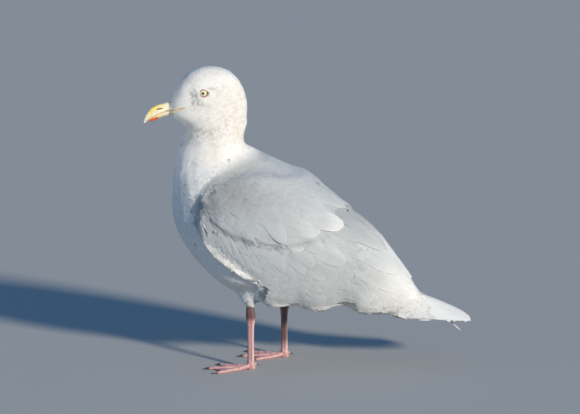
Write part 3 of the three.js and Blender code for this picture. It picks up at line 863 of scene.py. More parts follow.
TEMPLATE, TEMPLATE_FACES, TEMPLATE_FINGERS = tuft_template()


def scattered(density_of, seed_count):
    """Random places on the form, as triangles and weights, thinned to a density."""
    a, b, c = (form[form_tris[:, k]] for k in range(3))
    area = 0.5 * np.linalg.norm(np.cross(b - a, c - a), axis=1)
    tri = rng.choice(len(form_tris), seed_count, p=area / area.sum())
    share = rng.dirichlet((1, 1, 1), seed_count)
    places = interpolated(form, tri, share)
    per_area = seed_count / area.sum()
    kept = rng.random(seed_count) < density_of(places) / per_area
    return tri[kept], share[kept]


def thinned(places, spacing):
    """Keeps one place in each cell of a slanted grid as wide as the spacing there."""
    level = np.round(np.log(spacing) * 6)
    slanted = places @ np.array([[0.8, -0.6, 0], [0.48, 0.64, -0.6], [0.36, 0.48, 0.8]]).T
    cell = np.floor(slanted / np.exp(level / 6)[:, None])
    _, first = np.unique(np.column_stack([cell, level]), axis=0, return_index=True)
    return np.sort(first)


def tuft_length(places, wing):
    """The length of a tuft at some places, in millimetres."""
    x, _, z = drawn(places).T
    head = smooth_step(268, 292, z) * smooth_step(15, -5, x)
    face = near_spot(x, z, -92, 310, 16, 18)
    neck = smooth_step(225, 262, z) * smooth_step(30, 5, x) * (1 - head)
    thigh = smooth_step(90, 78, z) * smooth_step(75, 55, x)
    under_tail = smooth_step(70, 120, x) * (1 - wing)
    length = BODY_TUFT - 5.5 * neck + 5.0 * under_tail
    length = length * (1 - head) + (HEAD_TUFT - 2.7 * face) * head
    by_eye = smooth_step(13, 6, np.hypot(x - EYE_X, z - EYE_Z))
    by_bill = smooth_step(-90, -94, x) * smooth_step(290, 296, z)
    return length * (1 - 0.45 * thigh) * (1 - 0.4 * by_eye) * (1 - 0.5 * by_bill)


def gape_place(x, z):
    """How far places lie in front of the gape's corner and above the cutting line."""
    front, back = GAPE_FRONT, GAPE_BACK
    share = (x - back[0]) / (front[0] - back[0])
    return share, z - (back[1] + (front[1] - back[1]) * share)


def eye_clearance(places):
    """False over the eyes, the gape and the bill, where no tuft grows."""
    x, _, z = drawn(places).T
    ahead = x - EYE_X + EYE_BARE_AHEAD
    from_eye = np.hypot(ahead / EYE_BARE[0], (z - EYE_Z) / EYE_BARE[1])
    share, above = gape_place(x, z)
    on_gape = (share > 0.03) & (above < 4.0 * share) & (above > -6.0 * share)
    return (from_eye > 1) & (x > BILL_START) & ~on_gape


class Coat:
    """Collects tufts or vanes, and makes them into pieces of limited size.

    own_shading is how far a feather is lit as itself and not as the smooth form.
    """

    def __init__(self, name, material, slot, own_shading):
        self.name, self.material, self.slot = name, material, slot
        self.own_shading = own_shading
        self.made = 0
        self.empty()

    def empty(self):
        self.values, self.faces = [[] for _ in range(5)], []
        self.corners = self.triangles = 0

    def add(self, places, faces, *values):
        """Adds many copies of one shape: places is (copies, corners, 3). The values for
        each corner are its colour, its place in the map, its way up and its strand."""
        most = max(1, PIECE_TRIANGLES // len(faces))
        for start in range(0, len(places), most):
            part = slice(start, start + most)
            count = len(places[part])
            if self.triangles + count * len(faces) > PIECE_TRIANGLES:
                self.flush()
            shift = self.corners + np.arange(count)[:, None, None] * places.shape[1]
            self.faces.append((faces[None] + shift).reshape(-1, 3))
            for kept, value in zip(self.values, (places, *values)):
                kept.append(value[part].reshape(-1, value.shape[-1]))
            self.corners += count * places.shape[1]
            self.triangles += count * len(faces)

    def flush(self):
        """Makes what has been collected into a piece."""
        if not self.corners:
            return
        self.made += 1
        faces = np.concatenate(self.faces)
        places, tint, uv, ups, strand = (np.concatenate(v) for v in self.values)
        name = f"{self.name}_{self.made}"
        piece = add_piece(name, places, faces, self.material, tint, uv=uv, strand=strand)
        own = vertex_normals(places, faces)
        own *= np.sign((own * ups).sum(axis=1, keepdims=True))
        shading = unit(own * self.own_shading + ups * (1 - self.own_shading))
        piece.data.normals_split_custom_set_from_vertices(shading.tolist())
        self.empty()


coat = Coat("plumage", FEATHER, "white_plumage", 0.16)
vanes = Coat("vanes", FEATHER, "grey_plumage", 0.5)


def strands(along, across, length, width):
    """Millimetres across each feather, slowly along it, and a number of its own."""
    own = rng.uniform(0, 500, len(along))[:, None]
    side_step = across * 0.5 * np.asarray(width)[:, None]
    forward = along * np.asarray(length)[:, None] * 0.12
    return np.stack([side_step, forward, own * np.ones_like(along)], axis=-1)


def patch(tri, share, along, across, size=PATCH):
    """Each copy's corners in the OFBake map, close round its root's place."""
    middle = np.clip(uv_at(tri, share), size, 1 - size)
    spread = np.stack([across * 0.5, along - 0.5], axis=-1) * size
    return middle[:, None] + spread


def bent_line(roots, middles, tips, along):
    """Places and directions on the arcs through three places each."""
    control = 2 * middles - 0.5 * (roots + tips)
    t = along[..., None]
    a, b, c = roots[:, None], control[:, None], tips[:, None]
    places = a * (1 - t) ** 2 + b * 2 * t * (1 - t) + c * t**2
    ways = 2 * (1 - t) * (b - a) + 2 * t * (c - b)
    return places, unit(ways)


def tuft_colours(outer, tips, along, shade):
    """Each tuft's colour, which goes from its root's to its tip's."""
    root_colour, tip_colour = plumage_colour(outer), plumage_colour(tips)
    on_body = (wing_share(outer) < 0.5) & (drawn(outer)[:, 2] < BODY_TOP)
    tip_colour = np.where(on_body[:, None], root_colour, tip_colour)
    share_tip = np.clip(along, 0, 1)[..., None]
    colour = root_colour[:, None] * (1 - share_tip) + tip_colour[:, None] * share_tip
    colour = colour * shade[:, None, None]
    return np.clip(colour * (0.95 + 0.06 * along[..., None]), 0, PALEST)


def grow_tufts(tri, share, *sizes):
    """Tufts rooted in the skin whose tips lie over the form. Their sizes are length,
    width, lift and shade."""
    outer = interpolated(form, tri, share)
    normals = unit(interpolated(form_normals, tri, share))
    way = turned(lie_of(outer, normals, wing_share(outer)), normals, TUFT_SPREAD)
    tips, _, _, tip_normals = on_form(outer + way * (sizes[0] * MM)[:, None])
    flat = (normals * tip_normals).sum(axis=1) > FOLD_LIMIT
    tri, share, length, width, lift, shade = (v[flat] for v in (tri, share, *sizes))
    outer, normals, tips, tip_normals = (v[flat] for v in (outer, normals, tips, tip_normals))
    count = len(tri)
    middles = on_form(0.5 * (outer + tips))[0] - normals * (MIDDLE_SINK * MM)
    tips = tips + tip_normals * (lift * MM)[:, None]
    along = np.repeat(TEMPLATE[None, :, 0], count, axis=0)
    across = TEMPLATE[None, :, 1] * np.ones((count, 1))
    along[:, TEMPLATE_FINGERS] += rng.normal(0, FINGER_SPREAD, (count, len(TEMPLATE_FINGERS)))
    roots = interpolated(skin, tri, share)
    places, ways = bent_line(roots, middles, tips, along)
    up = normals[:, None] * (1 - along[..., None]) + tip_normals[:, None] * along[..., None]
    out = unit(np.cross(up, ways))
    half = (0.5 * width * MM)[:, None, None]
    places = places + out * across[..., None] * half
    places = places - unit(up) * (across[..., None] ** 2) * half * TUFT_CURL
    colour = tuft_colours(outer, tips, along, shade)
    uv = patch(tri, share, along, across)
    soft = unit(interpolated(soft_normals, tri, share))[:, None] * np.ones_like(places)
    lines = strands(along, across, length, width)
    coat.add(places, TEMPLATE_FACES, colour, uv, soft, lines)


COAT_SEEDS = 1_200_000
TAIL_COVERT_END = 196  # no loose tufts grow behind this
SPACING = 0.172  # of a tuft's length
OVERFILL = 3.2  # places tried for each one kept, so that no gap stays
UNDER_EDGE = 7  # tufts grow this far under the wing's front
UNDER_EDGE_TOP = 215
UNDER_WING = 0.12  # the share of the tufts that stay under the wing's feathers
TUFT_ASPECT = 0.31  # width for length


def grow_body_coat():
    """The soft feathers of head, neck, breast, belly, back and tail coverts."""
    def wanted(places):
        size = tuft_length(places, wing_share(places))
        clear = eye_clearance(places)
        return clear * OVERFILL / (SPACING * size * MM) ** 2

    tri, share = scattered(wanted, COAT_SEEDS)
    places = interpolated(form, tri, share)
    wing = wing_share(places)
    size = tuft_length(places, wing)
    first = thinned(places, SPACING * size * MM)
    tri, share, size, wing = tri[first], share[first], size[first], wing[first]
    x, _, z = drawn(places[first]).T
    kept = (x < TAIL_COVERT_END) & eye_clearance(places[first])
    behind = right_of_edge(x, z)
    under_edge = (behind < UNDER_EDGE) & (z < UNDER_EDGE_TOP)
    kept &= (wing < 0.7) | under_edge | (rng.random(len(x)) < UNDER_WING)
    tri, share, size, wing, behind = (v[kept] for v in (tri, share, size, wing, behind))
    count = len(tri)
    length = size * rng.uniform(*TUFT_LONG, count)
    width = size * TUFT_ASPECT * rng.uniform(*TUFT_WIDE, count)
    lift = (0.03 + 0.005 * size) * rng.uniform(*TUFT_LIFT, count)
    lift -= 2.0 * wing * smooth_step(2, 8, behind)
    shade = rng.normal(1, TUFT_SHADE, count)
    grow_tufts(tri, share, length, width, lift, shade)


grow_body_coat()

# ------------------------------------------------------------------ vanes
VANE_ROWS = 17
VANE_COLUMNS = 9
VANE_PATCH = 0.008
VANE_ROOT_DEPTH = 2.3  # how far under its tip's level a feather is rooted
VANE_TILT = 0.22  # how much the edge over the lower neighbour stands up
VANE_DROOP = 0.3  # how far its edges lie under its middle
VANE_SPREAD = 0.07  # how much neighbours differ in direction
VANE_SIZES = (0.88, 1.12)  # and in length and width
VANE_SHADE = 0.02
VANE_RAGGED = 0.012
SHAFT_DARK = 0.04
VANE_STEPS = 1 - (1 - np.linspace(0, 1, VANE_ROWS)) ** 1.7  # closer near the tip


def vane_template():
    along = np.repeat(VANE_STEPS, VANE_COLUMNS)
    across = np.tile(np.linspace(-1, 1, VANE_COLUMNS), VANE_ROWS)
    faces = []
    for row in range(VANE_ROWS - 1):
        for k in range(VANE_COLUMNS - 1):
            a = row * VANE_COLUMNS + k
            b = a + VANE_COLUMNS
            faces.append((a, b + 1, a + 1))
            faces.append((a, b, b + 1))
    return along, across, np.array(faces)


VANE_ALONG, VANE_ACROSS, VANE_FACES = vane_template()


def vane_outline(along, point):
    """A vane's half width at shares of its length: narrow, then even, a round tip."""
    start = 0.3 + 0.7 * smooth_step(0, 0.4, along)
    shoulder = 1 - point
    end = np.sqrt(np.clip(1 - ((along - shoulder) / point) ** 2, 0.004, 1))
    return np.where(along > shoulder, end, 1.0) * start


def vane_blades(roots, tips, widths, point, lay):
    """The places of each feather's blade as lay finds them."""
    count = len(roots)
    line = roots[:, None] + (tips - roots)[:, None] * VANE_STEPS[None, :, None]
    spots, _, _, normals = lay(line)
    spots = spots.reshape(count, VANE_ROWS, 3)
    normals = normals.reshape(count, VANE_ROWS, 3)
    out = unit(np.cross(normals, unit(np.gradient(spots, axis=1))))
    ragged = 1 - np.abs(rng.normal(0, VANE_RAGGED, (count, VANE_ROWS, 2)))
    half = vane_outline(VANE_STEPS, point)[None] * (0.5 * np.array(widths) * MM)[:, None]
    across = np.linspace(-1, 1, VANE_COLUMNS)[None, None]
    sides = np.where(across < 0, ragged[..., :1], ragged[..., 1:])
    offset = across * sides * half[..., None]
    return lay(spots[:, :, None] + out[:, :, None] * offset[..., None])


def vane_rise(tips, lifts, tilt, droop):
    """How far the places of each feather stand over the form, in millimetres."""
    rise = np.array(lifts)[:, None] - VANE_ROOT_DEPTH * (1 - VANE_ALONG[None]) ** 1.4
    off_ridge = smooth_step(6, 24, np.abs(drawn(tips)[:, 1]))[:, None]
    rise = rise + tilt * off_ridge * VANE_ACROSS[None] - droop * VANE_ACROSS[None] ** 2
    return rise - 0.35 * smooth_step(0.8, 1.0, VANE_ALONG)[None]


def vane_colours(laid, base, white_tip):
    """Each feather's colour: its base, whiter at its edges and tip, with a dark shaft."""
    count = len(laid)
    edge = smooth_step(0.6, 1.0, np.abs(VANE_ACROSS))[None]
    to_white = np.array(white_tip)[:, None] * smooth_step(0.58, 0.9, VANE_ALONG + 0.1 * edge)
    to_white = np.clip(to_white + 0.07 * edge + 0.1 * smooth_step(0.9, 1, VANE_ALONG), 0, 1)
    if base is None:
        x, _, z = drawn(laid.reshape(-1, 3)).T
        base = wing_colour(x, z).reshape(count, -1, 3)
    else:
        base = np.array(base)[:, None]
    colour = base * rng.normal(1, VANE_SHADE, (count, 1, 1))
    colour = colour + (WING_WHITE - colour) * to_white[..., None]
    shaft = 1 - SHAFT_DARK * np.exp(-((VANE_ACROSS / 0.1) ** 2))[None, :, None]
    return np.clip(colour * shaft, 0, PALEST)


def grow_vanes(roots, tips, widths, lifts, base, white_tip, point, tilt=0.0, lay=on_form,
               droop=VANE_DROOP):
    """Long single feathers that hug the form, each of one base colour or, for None,
    of the wing's colour at each place. point is the share of the rounded tip."""
    count = len(roots)
    roots, tips = np.array(roots), np.array(tips)
    laid, tri, share, up = vane_blades(roots, tips, widths, point, lay)
    laid, up = laid.reshape(count, -1, 3), up.reshape(count, -1, 3)
    places = laid + up * (vane_rise(tips, lifts, tilt, droop) * MM)[..., None]
    colour = vane_colours(laid, base, white_tip)
    root_tri = tri.reshape(count, -1)[:, VANE_COLUMNS // 2]
    root_share = share.reshape(count, -1, 3)[:, VANE_COLUMNS // 2]
    along = VANE_ALONG[None] * np.ones((count, 1))
    across = VANE_ACROSS[None] * np.ones((count, 1))
    uv = patch(root_tri, root_share, along, across, VANE_PATCH)
    soft = interpolated(soft_normals, tri, share).reshape(count, -1, 3)
    long = np.linalg.norm(tips - roots, axis=1) / MM
    vanes.add(places, VANE_FACES, colour, uv, unit(soft), strands(along, across, long, widths))


# ------------------------------------------------------------------ the folded wings
# Single large feathers: tip x, z, slant, length, width, grey, white tip, lift.
SHOULDER_FEATHERS = [
    [-21, 168, 64, 40, 14, 1.0, 0.0, 0.3], [-11, 163, 62, 42, 15, 1.0, 0.05, 0.4],
    [3, 160, 60, 44, 16, 1.0, 0.05, 0.5], [19, 162, 58, 46, 16, 1.0, 0.05, 0.6],
    [63, 150, 45, 62, 21, 0.97, 0.4, 0.3], [82, 170, 27, 66, 26, 0.97, 0.25, 0.6],
    [41, 161, 56, 62, 19, 1.0, 0.12, 1.3], [110, 176, 15, 66, 24, 0.9, 0.6, 1.3],
    [116, 196, 22, 60, 22, 0.95, 0.40, 1.2], [92, 190, 24, 60, 24, 0.97, 0.15, 0.7],
    [60, 182, 34, 52, 22, 1.0, 0.08, 0.8], [36, 184, 46, 48, 20, 1.0, 0.05, 0.8],
    [97, 204, 27, 52, 19, 0.97, 0.2, 0.7], [74, 199, 28, 50, 19, 1.0, 0.08, 0.6],
]
COVERT_FEATHERS = [
    [24, 123, 62, 42, 11, 1.0, 0.05, 0.1], [53, 117, 55, 42, 12, 1.0, 0.08, 0.1],
    [41, 124, 58, 44, 12, 1.0, 0.05, 0.2], [88, 112, 46, 46, 15, 1.0, 0.08, 0.1],
    [65, 122, 52, 46, 14, 1.0, 0.08, 0.25], [104, 113, 41, 50, 16, 0.95, 0.1, 0.2],
    [96, 139, 36, 54, 19, 0.97, 0.08, 0.2], [75, 130, 46, 50, 17, 1.0, 0.08, 0.45],
    [112, 132, 31, 62, 22, 0.92, 0.12, 0.6], [83, 147, 42, 50, 18, 1.0, 0.05, 0.4],
]
TERTIALS = [
    [180, 96, 31, 92, 28, 0.8, 0.8, 0.1], [183, 115, 31, 98, 29, 0.95, 0.6, 0.7],
    [163, 146, 25, 92, 26, 1.0, 0.3, 1.2], [144, 173, 18, 80, 23, 1.0, 0.15, 1.3],
]
WING_POINT = [
    [196, 101, 40, 92, 13, 0.05, 0.9, -0.6], [192, 114, 42, 90, 13, 0.1, 0.9, -0.4],
    [188, 96, 38, 84, 14, 0.1, 0.9, -0.8],
]
# Tips of the white feathers behind the wing's lower edge, x and z.
LOOSE_TIPS = [
    [112, 76], [119, 70], [126, 66], [133, 65], [140, 65], [147, 66], [153, 67],
    [159, 70], [165, 72], [171, 75], [177, 80], [183, 86],
]
FRINGE_SPREAD = 2.5  # degrees by which neighbours differ in slant
# Rows of soft feathers whose tips follow a line: length, width, slant, lift, length of the
# rounded tip, turn from one to the next, white tip.
EDGE_ROW_HIGH = [34, 12, 50, -0.3, 0.5, -0.8, 0.1]
EDGE_ROW_LOW = [30, 11, 50, -0.15, 0.5, -0.8, 0.25]
LOOSE_ROW_LOW = [70, 12, 50, -0.7, 0.4, -1.3, 0.7]
LOOSE_ROW_HIGH = [74, 14, 49, -0.5, 0.3, -1.3, 0.4]
EDGE_X = [20, 116]
EDGE_STEP = 4.5
# Scattered feathers: x, the lengths at those places, the widths there.
BACK_SIZES = [[-60, 0, 100], [18, 28, 38], [9, 14, 19]]
FRONT_SIZES = [[-60, 0, 30], [20, 28, 34], [5, 6, 8]]
REAR_SIZES = [[20, 60, 120], [34, 40, 46], [9, 12, 15]]
SCATTER_SEEDS = 60_000
SCATTER_OVERFILL = 6.0
SCATTER_WHITE = 0.06  # how white their tips are
EDGE_SINK = 0.9  # how much lower the front feathers lie, under the breast's
COVERT_EDGE_X = [-20, 8, 60, 110, 150]  # the coverts' lower edge, by x
COVERT_EDGE_Z = [100, 88, 82, 80, 84]
COVERTS_END = 112  # behind this the long feathers begin to show
COVERTS_LAST = 126  # and behind this there are only those
RIDGE_X = [34, 196]
RIDGE_SPACING = 6
RIDGE_LENGTH = 36
RIDGE_SPREAD = 1.2  # how far their tips stray from the middle
RIDGE_SIZES = (0.85, 1.1)
RIDGE_WIDTH = 22
RIDGE_LIFT = 0.7
RIDGE_DROOP = 2.4  # how far a ridge feather's edges lie under its middle
RIDGE_STEP = 1.5  # how much higher some of their tips are
RIDGE_STEPS = [118, 146, 167]  # where long feathers end and the outline steps down
OVER_BACK = 400  # a height above the whole bird


def grow_single(table, side, point, by_place=False):
    """Large feathers one by one, each from its tip back to its root. by_place gives them
    the wing's own colour and not the table's grey."""
    rows = np.array(table, float)
    roots, tips = [], []
    for x, z, slant, long in rows[:, :4]:
        turn = math.radians(slant)
        roots.append(beside(x - long * math.cos(turn), z + long * math.sin(turn), side))
        tips.append(beside(x, z, side))
    # the feathers' grey holds painted shade on the shoulder, mantle and long inner feathers
    own_grey = grey_with_painted_shade(rows[:, 0] - 10, rows[:, 1] + 5)
    base = None if by_place else WING_WHITE + (own_grey - WING_WHITE) * rows[:, 5:6]
    grow_vanes(roots, tips, rows[:, 4], rows[:, 7], base, rows[:, 6], point, side * VANE_TILT)


def grow_scattered(inside, spacing, sizes, lift, point):
    """Even but unordered feathers over the places where inside is true."""
    def wanted(places):
        return SCATTER_OVERFILL * inside(*drawn(places).T) / (spacing * MM) ** 2

    tri, share = scattered(wanted, SCATTER_SEEDS)
    first = thinned(interpolated(form, tri, share), np.full(len(tri), spacing * MM))
    tri, share = tri[first], share[first]
    tips = interpolated(form, tri, share)
    normals = unit(interpolated(form_normals, tri, share))
    way = turned(lie_of(tips, normals, np.ones(len(tips))), normals, VANE_SPREAD)
    x, y, z = drawn(tips).T
    long, wide = (
        np.interp(x, sizes[0], values) * rng.uniform(*VANE_SIZES, len(tips))
        for values in sizes[1:]
    )
    roots = tips - way * (long * MM)[:, None]
    for side in SIDES:
        own = y * side > 0
        lifts = lift + rng.uniform(-0.1, 0.1, own.sum())
        lifts = lifts - EDGE_SINK * smooth_step(12, 2, right_of_edge(x[own], z[own]))
        white = np.full(own.sum(), SCATTER_WHITE)
        tilt = side * VANE_TILT
        grow_vanes(roots[own], tips[own], wide[own], lifts, None, white, point, tilt)


def clear_of(table, x, z):
    """False over the part of each large feather that is meant to show."""
    clear = np.ones(len(x), bool)
    for tip_x, tip_z, slant, long, wide in np.array(table, float)[:, :5]:
        turn = math.radians(slant)
        along = (tip_x - x) * math.cos(turn) - (tip_z - z) * math.sin(turn)
        across = (tip_x - x) * math.sin(turn) + (tip_z - z) * math.cos(turn)
        shown = 0.42 * long
        clear &= np.hypot((along - shown / 2) / (0.5 * shown), across / (0.42 * wide)) > 1
    return clear


def grow_back():
    """The smooth grey feathers of the mantle and shoulders."""
    def inside(x, y, z):
        high = (above_shoulder_edge(x, z) > 1.5) & (x < 114)
        return high & clear_of(SHOULDER_FEATHERS, x, z) & (right_of_edge(x, z) > 6)

    grow_scattered(inside, spacing=8.5, sizes=BACK_SIZES, lift=0.35, point=0.34)


def grow_coverts():
    """The slanting coverts of the wing, in front in narrow strands."""
    def on_wing(x, y, z):
        low_edge = np.interp(x, COVERT_EDGE_X, COVERT_EDGE_Z)
        low = (above_shoulder_edge(x, z) < 6) & (z > low_edge) & (np.abs(y) > 12)
        end = rng.uniform(COVERTS_END, COVERTS_LAST, np.shape(x))
        return low & (x + 0.3 * (120 - z) < end) & (right_of_edge(x, z) > 2)

    def front(x, y, z):
        return on_wing(x, y, z) & (x < 32)

    def rear(x, y, z):
        return on_wing(x, y, z) & (x > 24) & clear_of(TERTIALS, x, z)

    grow_scattered(front, spacing=5.0, sizes=FRONT_SIZES, lift=-0.3, point=0.6)
    grow_scattered(rear, spacing=8.0, sizes=REAR_SIZES, lift=-0.25, point=0.42)


def grow_fringe(tips, side, long, wide, slant, lift, point, turn_each, white):
    """A row of soft feathers whose tips follow a line, in the wing's own colour."""
    rows = []
    for k, (x, z) in enumerate(tips):
        angle = slant + turn_each * k + rng.normal(0, FRINGE_SPREAD)
        size = rng.uniform(0.9, 1.1)
        own_lift = lift + 0.15 * (k % 2)
        rows.append([x, z, angle, long * size, wide * size, 1, white, own_lift])
    grow_single(rows, side, point, by_place=True)


def grow_lower_edge(side):
    """Soft feathers whose tips make the wing's lower edge."""
    x = np.arange(*EDGE_X, EDGE_STEP)
    tips = np.array([[tip_x, lower_edge(tip_x, side) + 1.0] for tip_x in x])
    grow_fringe(tips + [0, 6], side, *EDGE_ROW_HIGH)
    grow_fringe(tips, side, *EDGE_ROW_LOW)


def grow_ridge():
    """Feathers along the middle of the back, where the two sides meet."""
    x = np.arange(*RIDGE_X, RIDGE_SPACING)
    y = rng.normal(0, RIDGE_SPREAD, len(x))
    tips = [at(tip_x, OVER_BACK, tip_y) for tip_x, tip_y in zip(x, y)]
    roots = [at(a - RIDGE_LENGTH, OVER_BACK, 0.5 * b) for a, b in zip(x, y)]
    tips, roots = on_slope(np.array(tips), 1)[0], on_slope(np.array(roots), 1)[0]
    base = wing_colour(x, drawn(tips)[:, 2])
    widths = RIDGE_WIDTH * rng.uniform(*RIDGE_SIZES, len(x))
    to_step = (np.array(RIDGE_STEPS)[None] - x[:, None]).clip(-0.1, None)
    lifts = RIDGE_LIFT + RIDGE_STEP * np.exp(-((to_step.min(axis=1) / 6) ** 2))
    white = np.full(len(x), 0.15)
    grow_vanes(roots, tips, widths, lifts, base, white, point=0.36, droop=RIDGE_DROOP)


grow_coverts()
grow_back()
grow_ridge()
for side in SIDES:
    grow_lower_edge(side)
    grow_single(WING_POINT, side, point=0.55)
    grow_fringe(LOOSE_TIPS, side, *LOOSE_ROW_LOW)
    grow_fringe(np.array(LOOSE_TIPS) + [-1, 4], side, *LOOSE_ROW_HIGH)
    grow_single(TERTIALS, side, point=0.24)
    grow_single(COVERT_FEATHERS, side, point=0.34)
    grow_single(SHOULDER_FEATHERS, side, point=0.3)

# ------------------------------------------------------------------ a stray feather
STRAY = [[229, 58], [238, 51.5], [249, 41]]  # from under the tail, x and z
STRAY_Y = -9
STRAY_WIDTH = 1.7
STRAY_LENGTH = 24


def grow_stray():
    """One thin feather that hangs loose under the tail."""
    x, z = line_at(STRAY, VANE_ALONG * (len(STRAY) - 1)).T
    half = 0.5 * STRAY_WIDTH * vane_outline(VANE_ALONG, 0.6) * VANE_ACROSS
    y = STRAY_Y + 0.5 * np.abs(VANE_ACROSS)
    places = framed(np.stack([x + 0.6 * half, y, z + 0.8 * half], axis=1))[None]
    _, tri, share, _ = on_form(places[:, 0])
    uv = patch(tri, share, VANE_ALONG[None], VANE_ACROSS[None], VANE_PATCH)
    colour = np.ones_like(places) * WHITE * 0.85
    ups = np.ones_like(places) * [0, -1, 0]
    lines = strands(VANE_ALONG[None], VANE_ACROSS[None], [STRAY_LENGTH], [STRAY_WIDTH])
    vanes.add(places, VANE_FACES, colour, uv, ups, lines)


# ------------------------------------------------------------------ the tail
TAIL_FEATHERS = 6  # on each side
TAIL_ROOT_X = 148
TAIL_TIP_X = 259.5
TAIL_HALF = 21.5
TAIL_FEATHER_WIDTH = 19
TAIL_ROUNDNESS = 12  # how much shorter the outermost feather is
TAIL_TILT = 0.25


def grow_tail():
    """The long tail feathers, a middle pair on top, and their undersides."""
    share = np.arange(TAIL_FEATHERS) / (TAIL_FEATHERS - 1)
    tip_x = TAIL_TIP_X - TAIL_ROUNDNESS * share**2.5
    tip_y = 3.0 + (TAIL_HALF - 3.0) * share
    root_y = 2.0 + 8.0 * share
    widths = TAIL_FEATHER_WIDTH * (1 - 0.2 * share)
    colours = np.repeat(WING_WHITE[None], TAIL_FEATHERS, axis=0)
    for up, lifts in ((1, 0.35 - 0.75 * share), (-1, -0.6 + 0.7 * share)):
        for side in SIDES:
            roots = [at(TAIL_ROOT_X, 80, side * y) for y in root_y]
            tips = [at(x, 55, side * y) for x, y in zip(tip_x, tip_y)]
            grow_vanes(
                roots, tips, widths, lifts, colours, np.zeros(TAIL_FEATHERS), 0.14,
                -side * up * TAIL_TILT, lambda places: on_slope(places, up),
            )


grow_tail()
grow_stray()
coat.flush()
vanes.flush()


# ------------------------------------------------------------------ lofted pieces
def curved(table, count):
    """Rows of a short table with a smooth curve through them."""
    rows = np.array(table, float)
    steps = np.linspace(0, len(rows) - 1, count)
    low = np.minimum(steps.astype(int), len(rows) - 2)
    t = (steps - low)[:, None]
    padded = np.vstack([2 * rows[0] - rows[1], rows, 2 * rows[-1] - rows[-2]])
    a, b, c, d = (padded[low + k] for k in range(4))
    bend = 2 * a - 5 * b + 4 * c - d
    twist = 3 * b - a - 3 * c + d
    return 0.5 * (2 * b + (c - a) * t + bend * t**2 + twist * t**3)


def loft(rings):
    """A closed surface through rings of as many places, with its faces pointing out."""
    rows, around = rings.shape[:2]
    places = np.vstack([rings.reshape(-1, 3), rings[0].mean(axis=0), rings[-1].mean(axis=0)])
    here = np.arange(around)
    after = (here + 1) % around
    end = (rows - 1) * around
    first, last = np.full(around, rows * around), np.full(around, rows * around + 1)
    faces = np.concatenate([
        grid_faces(rows, around, closed=True),
        np.stack([first, after, here], 1),
        np.stack([last, end + here, end + after], 1),
    ])
    a, b, c = (places[faces[:, k]] for k in range(3))
    if (a * np.cross(b, c)).sum() < 0:
        faces = faces[:, ::-1]
    return places, faces


def turns(count):
    """Angles all round, as one row."""
    return np.linspace(0, 2 * np.pi, count, endpoint=False)[None]


def joined(parts):
    """Several surfaces as one list of places and one of faces."""
    places, faces, start = [], [], 0
    for part_places, part_faces in parts:
        places.append(part_places)
        faces.append(part_faces + start)
        start += len(part_places)
    return np.concatenate(places), np.concatenate(faces)


def all_over(colour, count):
    return np.ones((count, 3)) * colour


def mix(colour, other, amount):
    return colour + (np.array(other) - colour) * np.asarray(amount)[..., None]


# ------------------------------------------------------------------ the bill
# Rows from the base to the tip: top x, z, bottom x, z, half width.
BILL_UPPER = [
    [-77.5, 311.9, -77.3, 310.7, 15.0], [-85, 313.4, -84.6, 309.3, 13.0],
    [-91, 314.6, -90.4, 307.6, 9.6], [-96.4, 314.8, -95.6, 305.8, 7.0],
    [-103, 312.8, -102.3, 303.6, 6.2], [-110, 310.8, -109.6, 300.3, 5.4],
    [-116.2, 307.2, -115, 297.1, 4.6], [-120.8, 301.8, -118.7, 294.6, 3.6],
    [-123.9, 295.4, -121.2, 292, 2.4], [-125.2, 291.3, -123.4, 290, 1.3],
    [-124.9, 289.6, -124.5, 289.3, 0.5],
]
BILL_LOWER = [
    [-77.5, 310.3, -77.3, 309.3, 14.6], [-85, 308.9, -84.6, 305.2, 12.6],
    [-91, 307.2, -90.4, 301.2, 9.2], [-95.8, 305.4, -95.6, 298.7, 6.6],
    [-102.3, 303.2, -101.8, 297.6, 5.8], [-109.6, 299.9, -108.1, 294.8, 4.9],
    [-114.9, 296.7, -113.6, 292.3, 3.9], [-118, 294.4, -117.4, 291.6, 2.6],
    [-119.6, 292.9, -119.4, 291.9, 0.9],
]
# Half a section of the bill: share of the way down, share of the half width.
UPPER_SECTION = [
    [0, 0], [0.015, 0.2], [0.07, 0.42], [0.2, 0.63], [0.45, 0.8], [0.75, 0.92],
    [0.95, 1.0], [1.0, 0.93], [0.97, 0.5], [0.95, 0],
]
LOWER_SECTION = [
    [0.05, 0], [0.03, 0.5], [0.0, 0.9], [0.06, 1.0], [0.3, 0.95], [0.6, 0.78],
    [0.85, 0.52], [0.97, 0.26], [1.0, 0],
]
BILL_FULLNESS = 0.86
BILL_ROWS = 150
SECTION_STEPS = 60
CREAM = [0.86, 0.80, 0.60]
YELLOW = [0.90, 0.70, 0.15]
PALE_TIP = [0.82, 0.80, 0.70]
GONYS_RED = [0.80, 0.13, 0.03]
GAPE_ORANGE = [0.70, 0.33, 0.09]
GAPE_SLIT = [0.35, 0.10, 0.04]
# painted shade: the dark inside the nostril's opening
NOSTRIL_SHADE = [0.02, 0.017, 0.014]
NOSTRIL = [[-109.2, 306.6], [-103.6, 307.9]]  # its front and back ends, x and z
NOSTRIL_HALF = 0.48  # half its height
NOSTRIL_DEPTH = 1.1
RED_SPOT = [-113.2, 294.4]  # its middle, x and z
RED_SPOT_HALF = [6.2, 2.5]


def bill_half(table, section):
    rows = curved(table, BILL_ROWS)
    half = curved(section, SECTION_STEPS)
    share = np.concatenate([half[:, 0], half[-2:0:-1, 0]])
    wide = np.concatenate([half[:, 1], -half[-2:0:-1, 1]]) * BILL_FULLNESS
    top_x, top_z, low_x, low_z, width = (rows[:, k, None] for k in range(5))
    x = top_x + (low_x - top_x) * share
    z = top_z + (low_z - top_z) * share
    y = width * wide
    return loft(np.stack([x, y, z], axis=2)), share


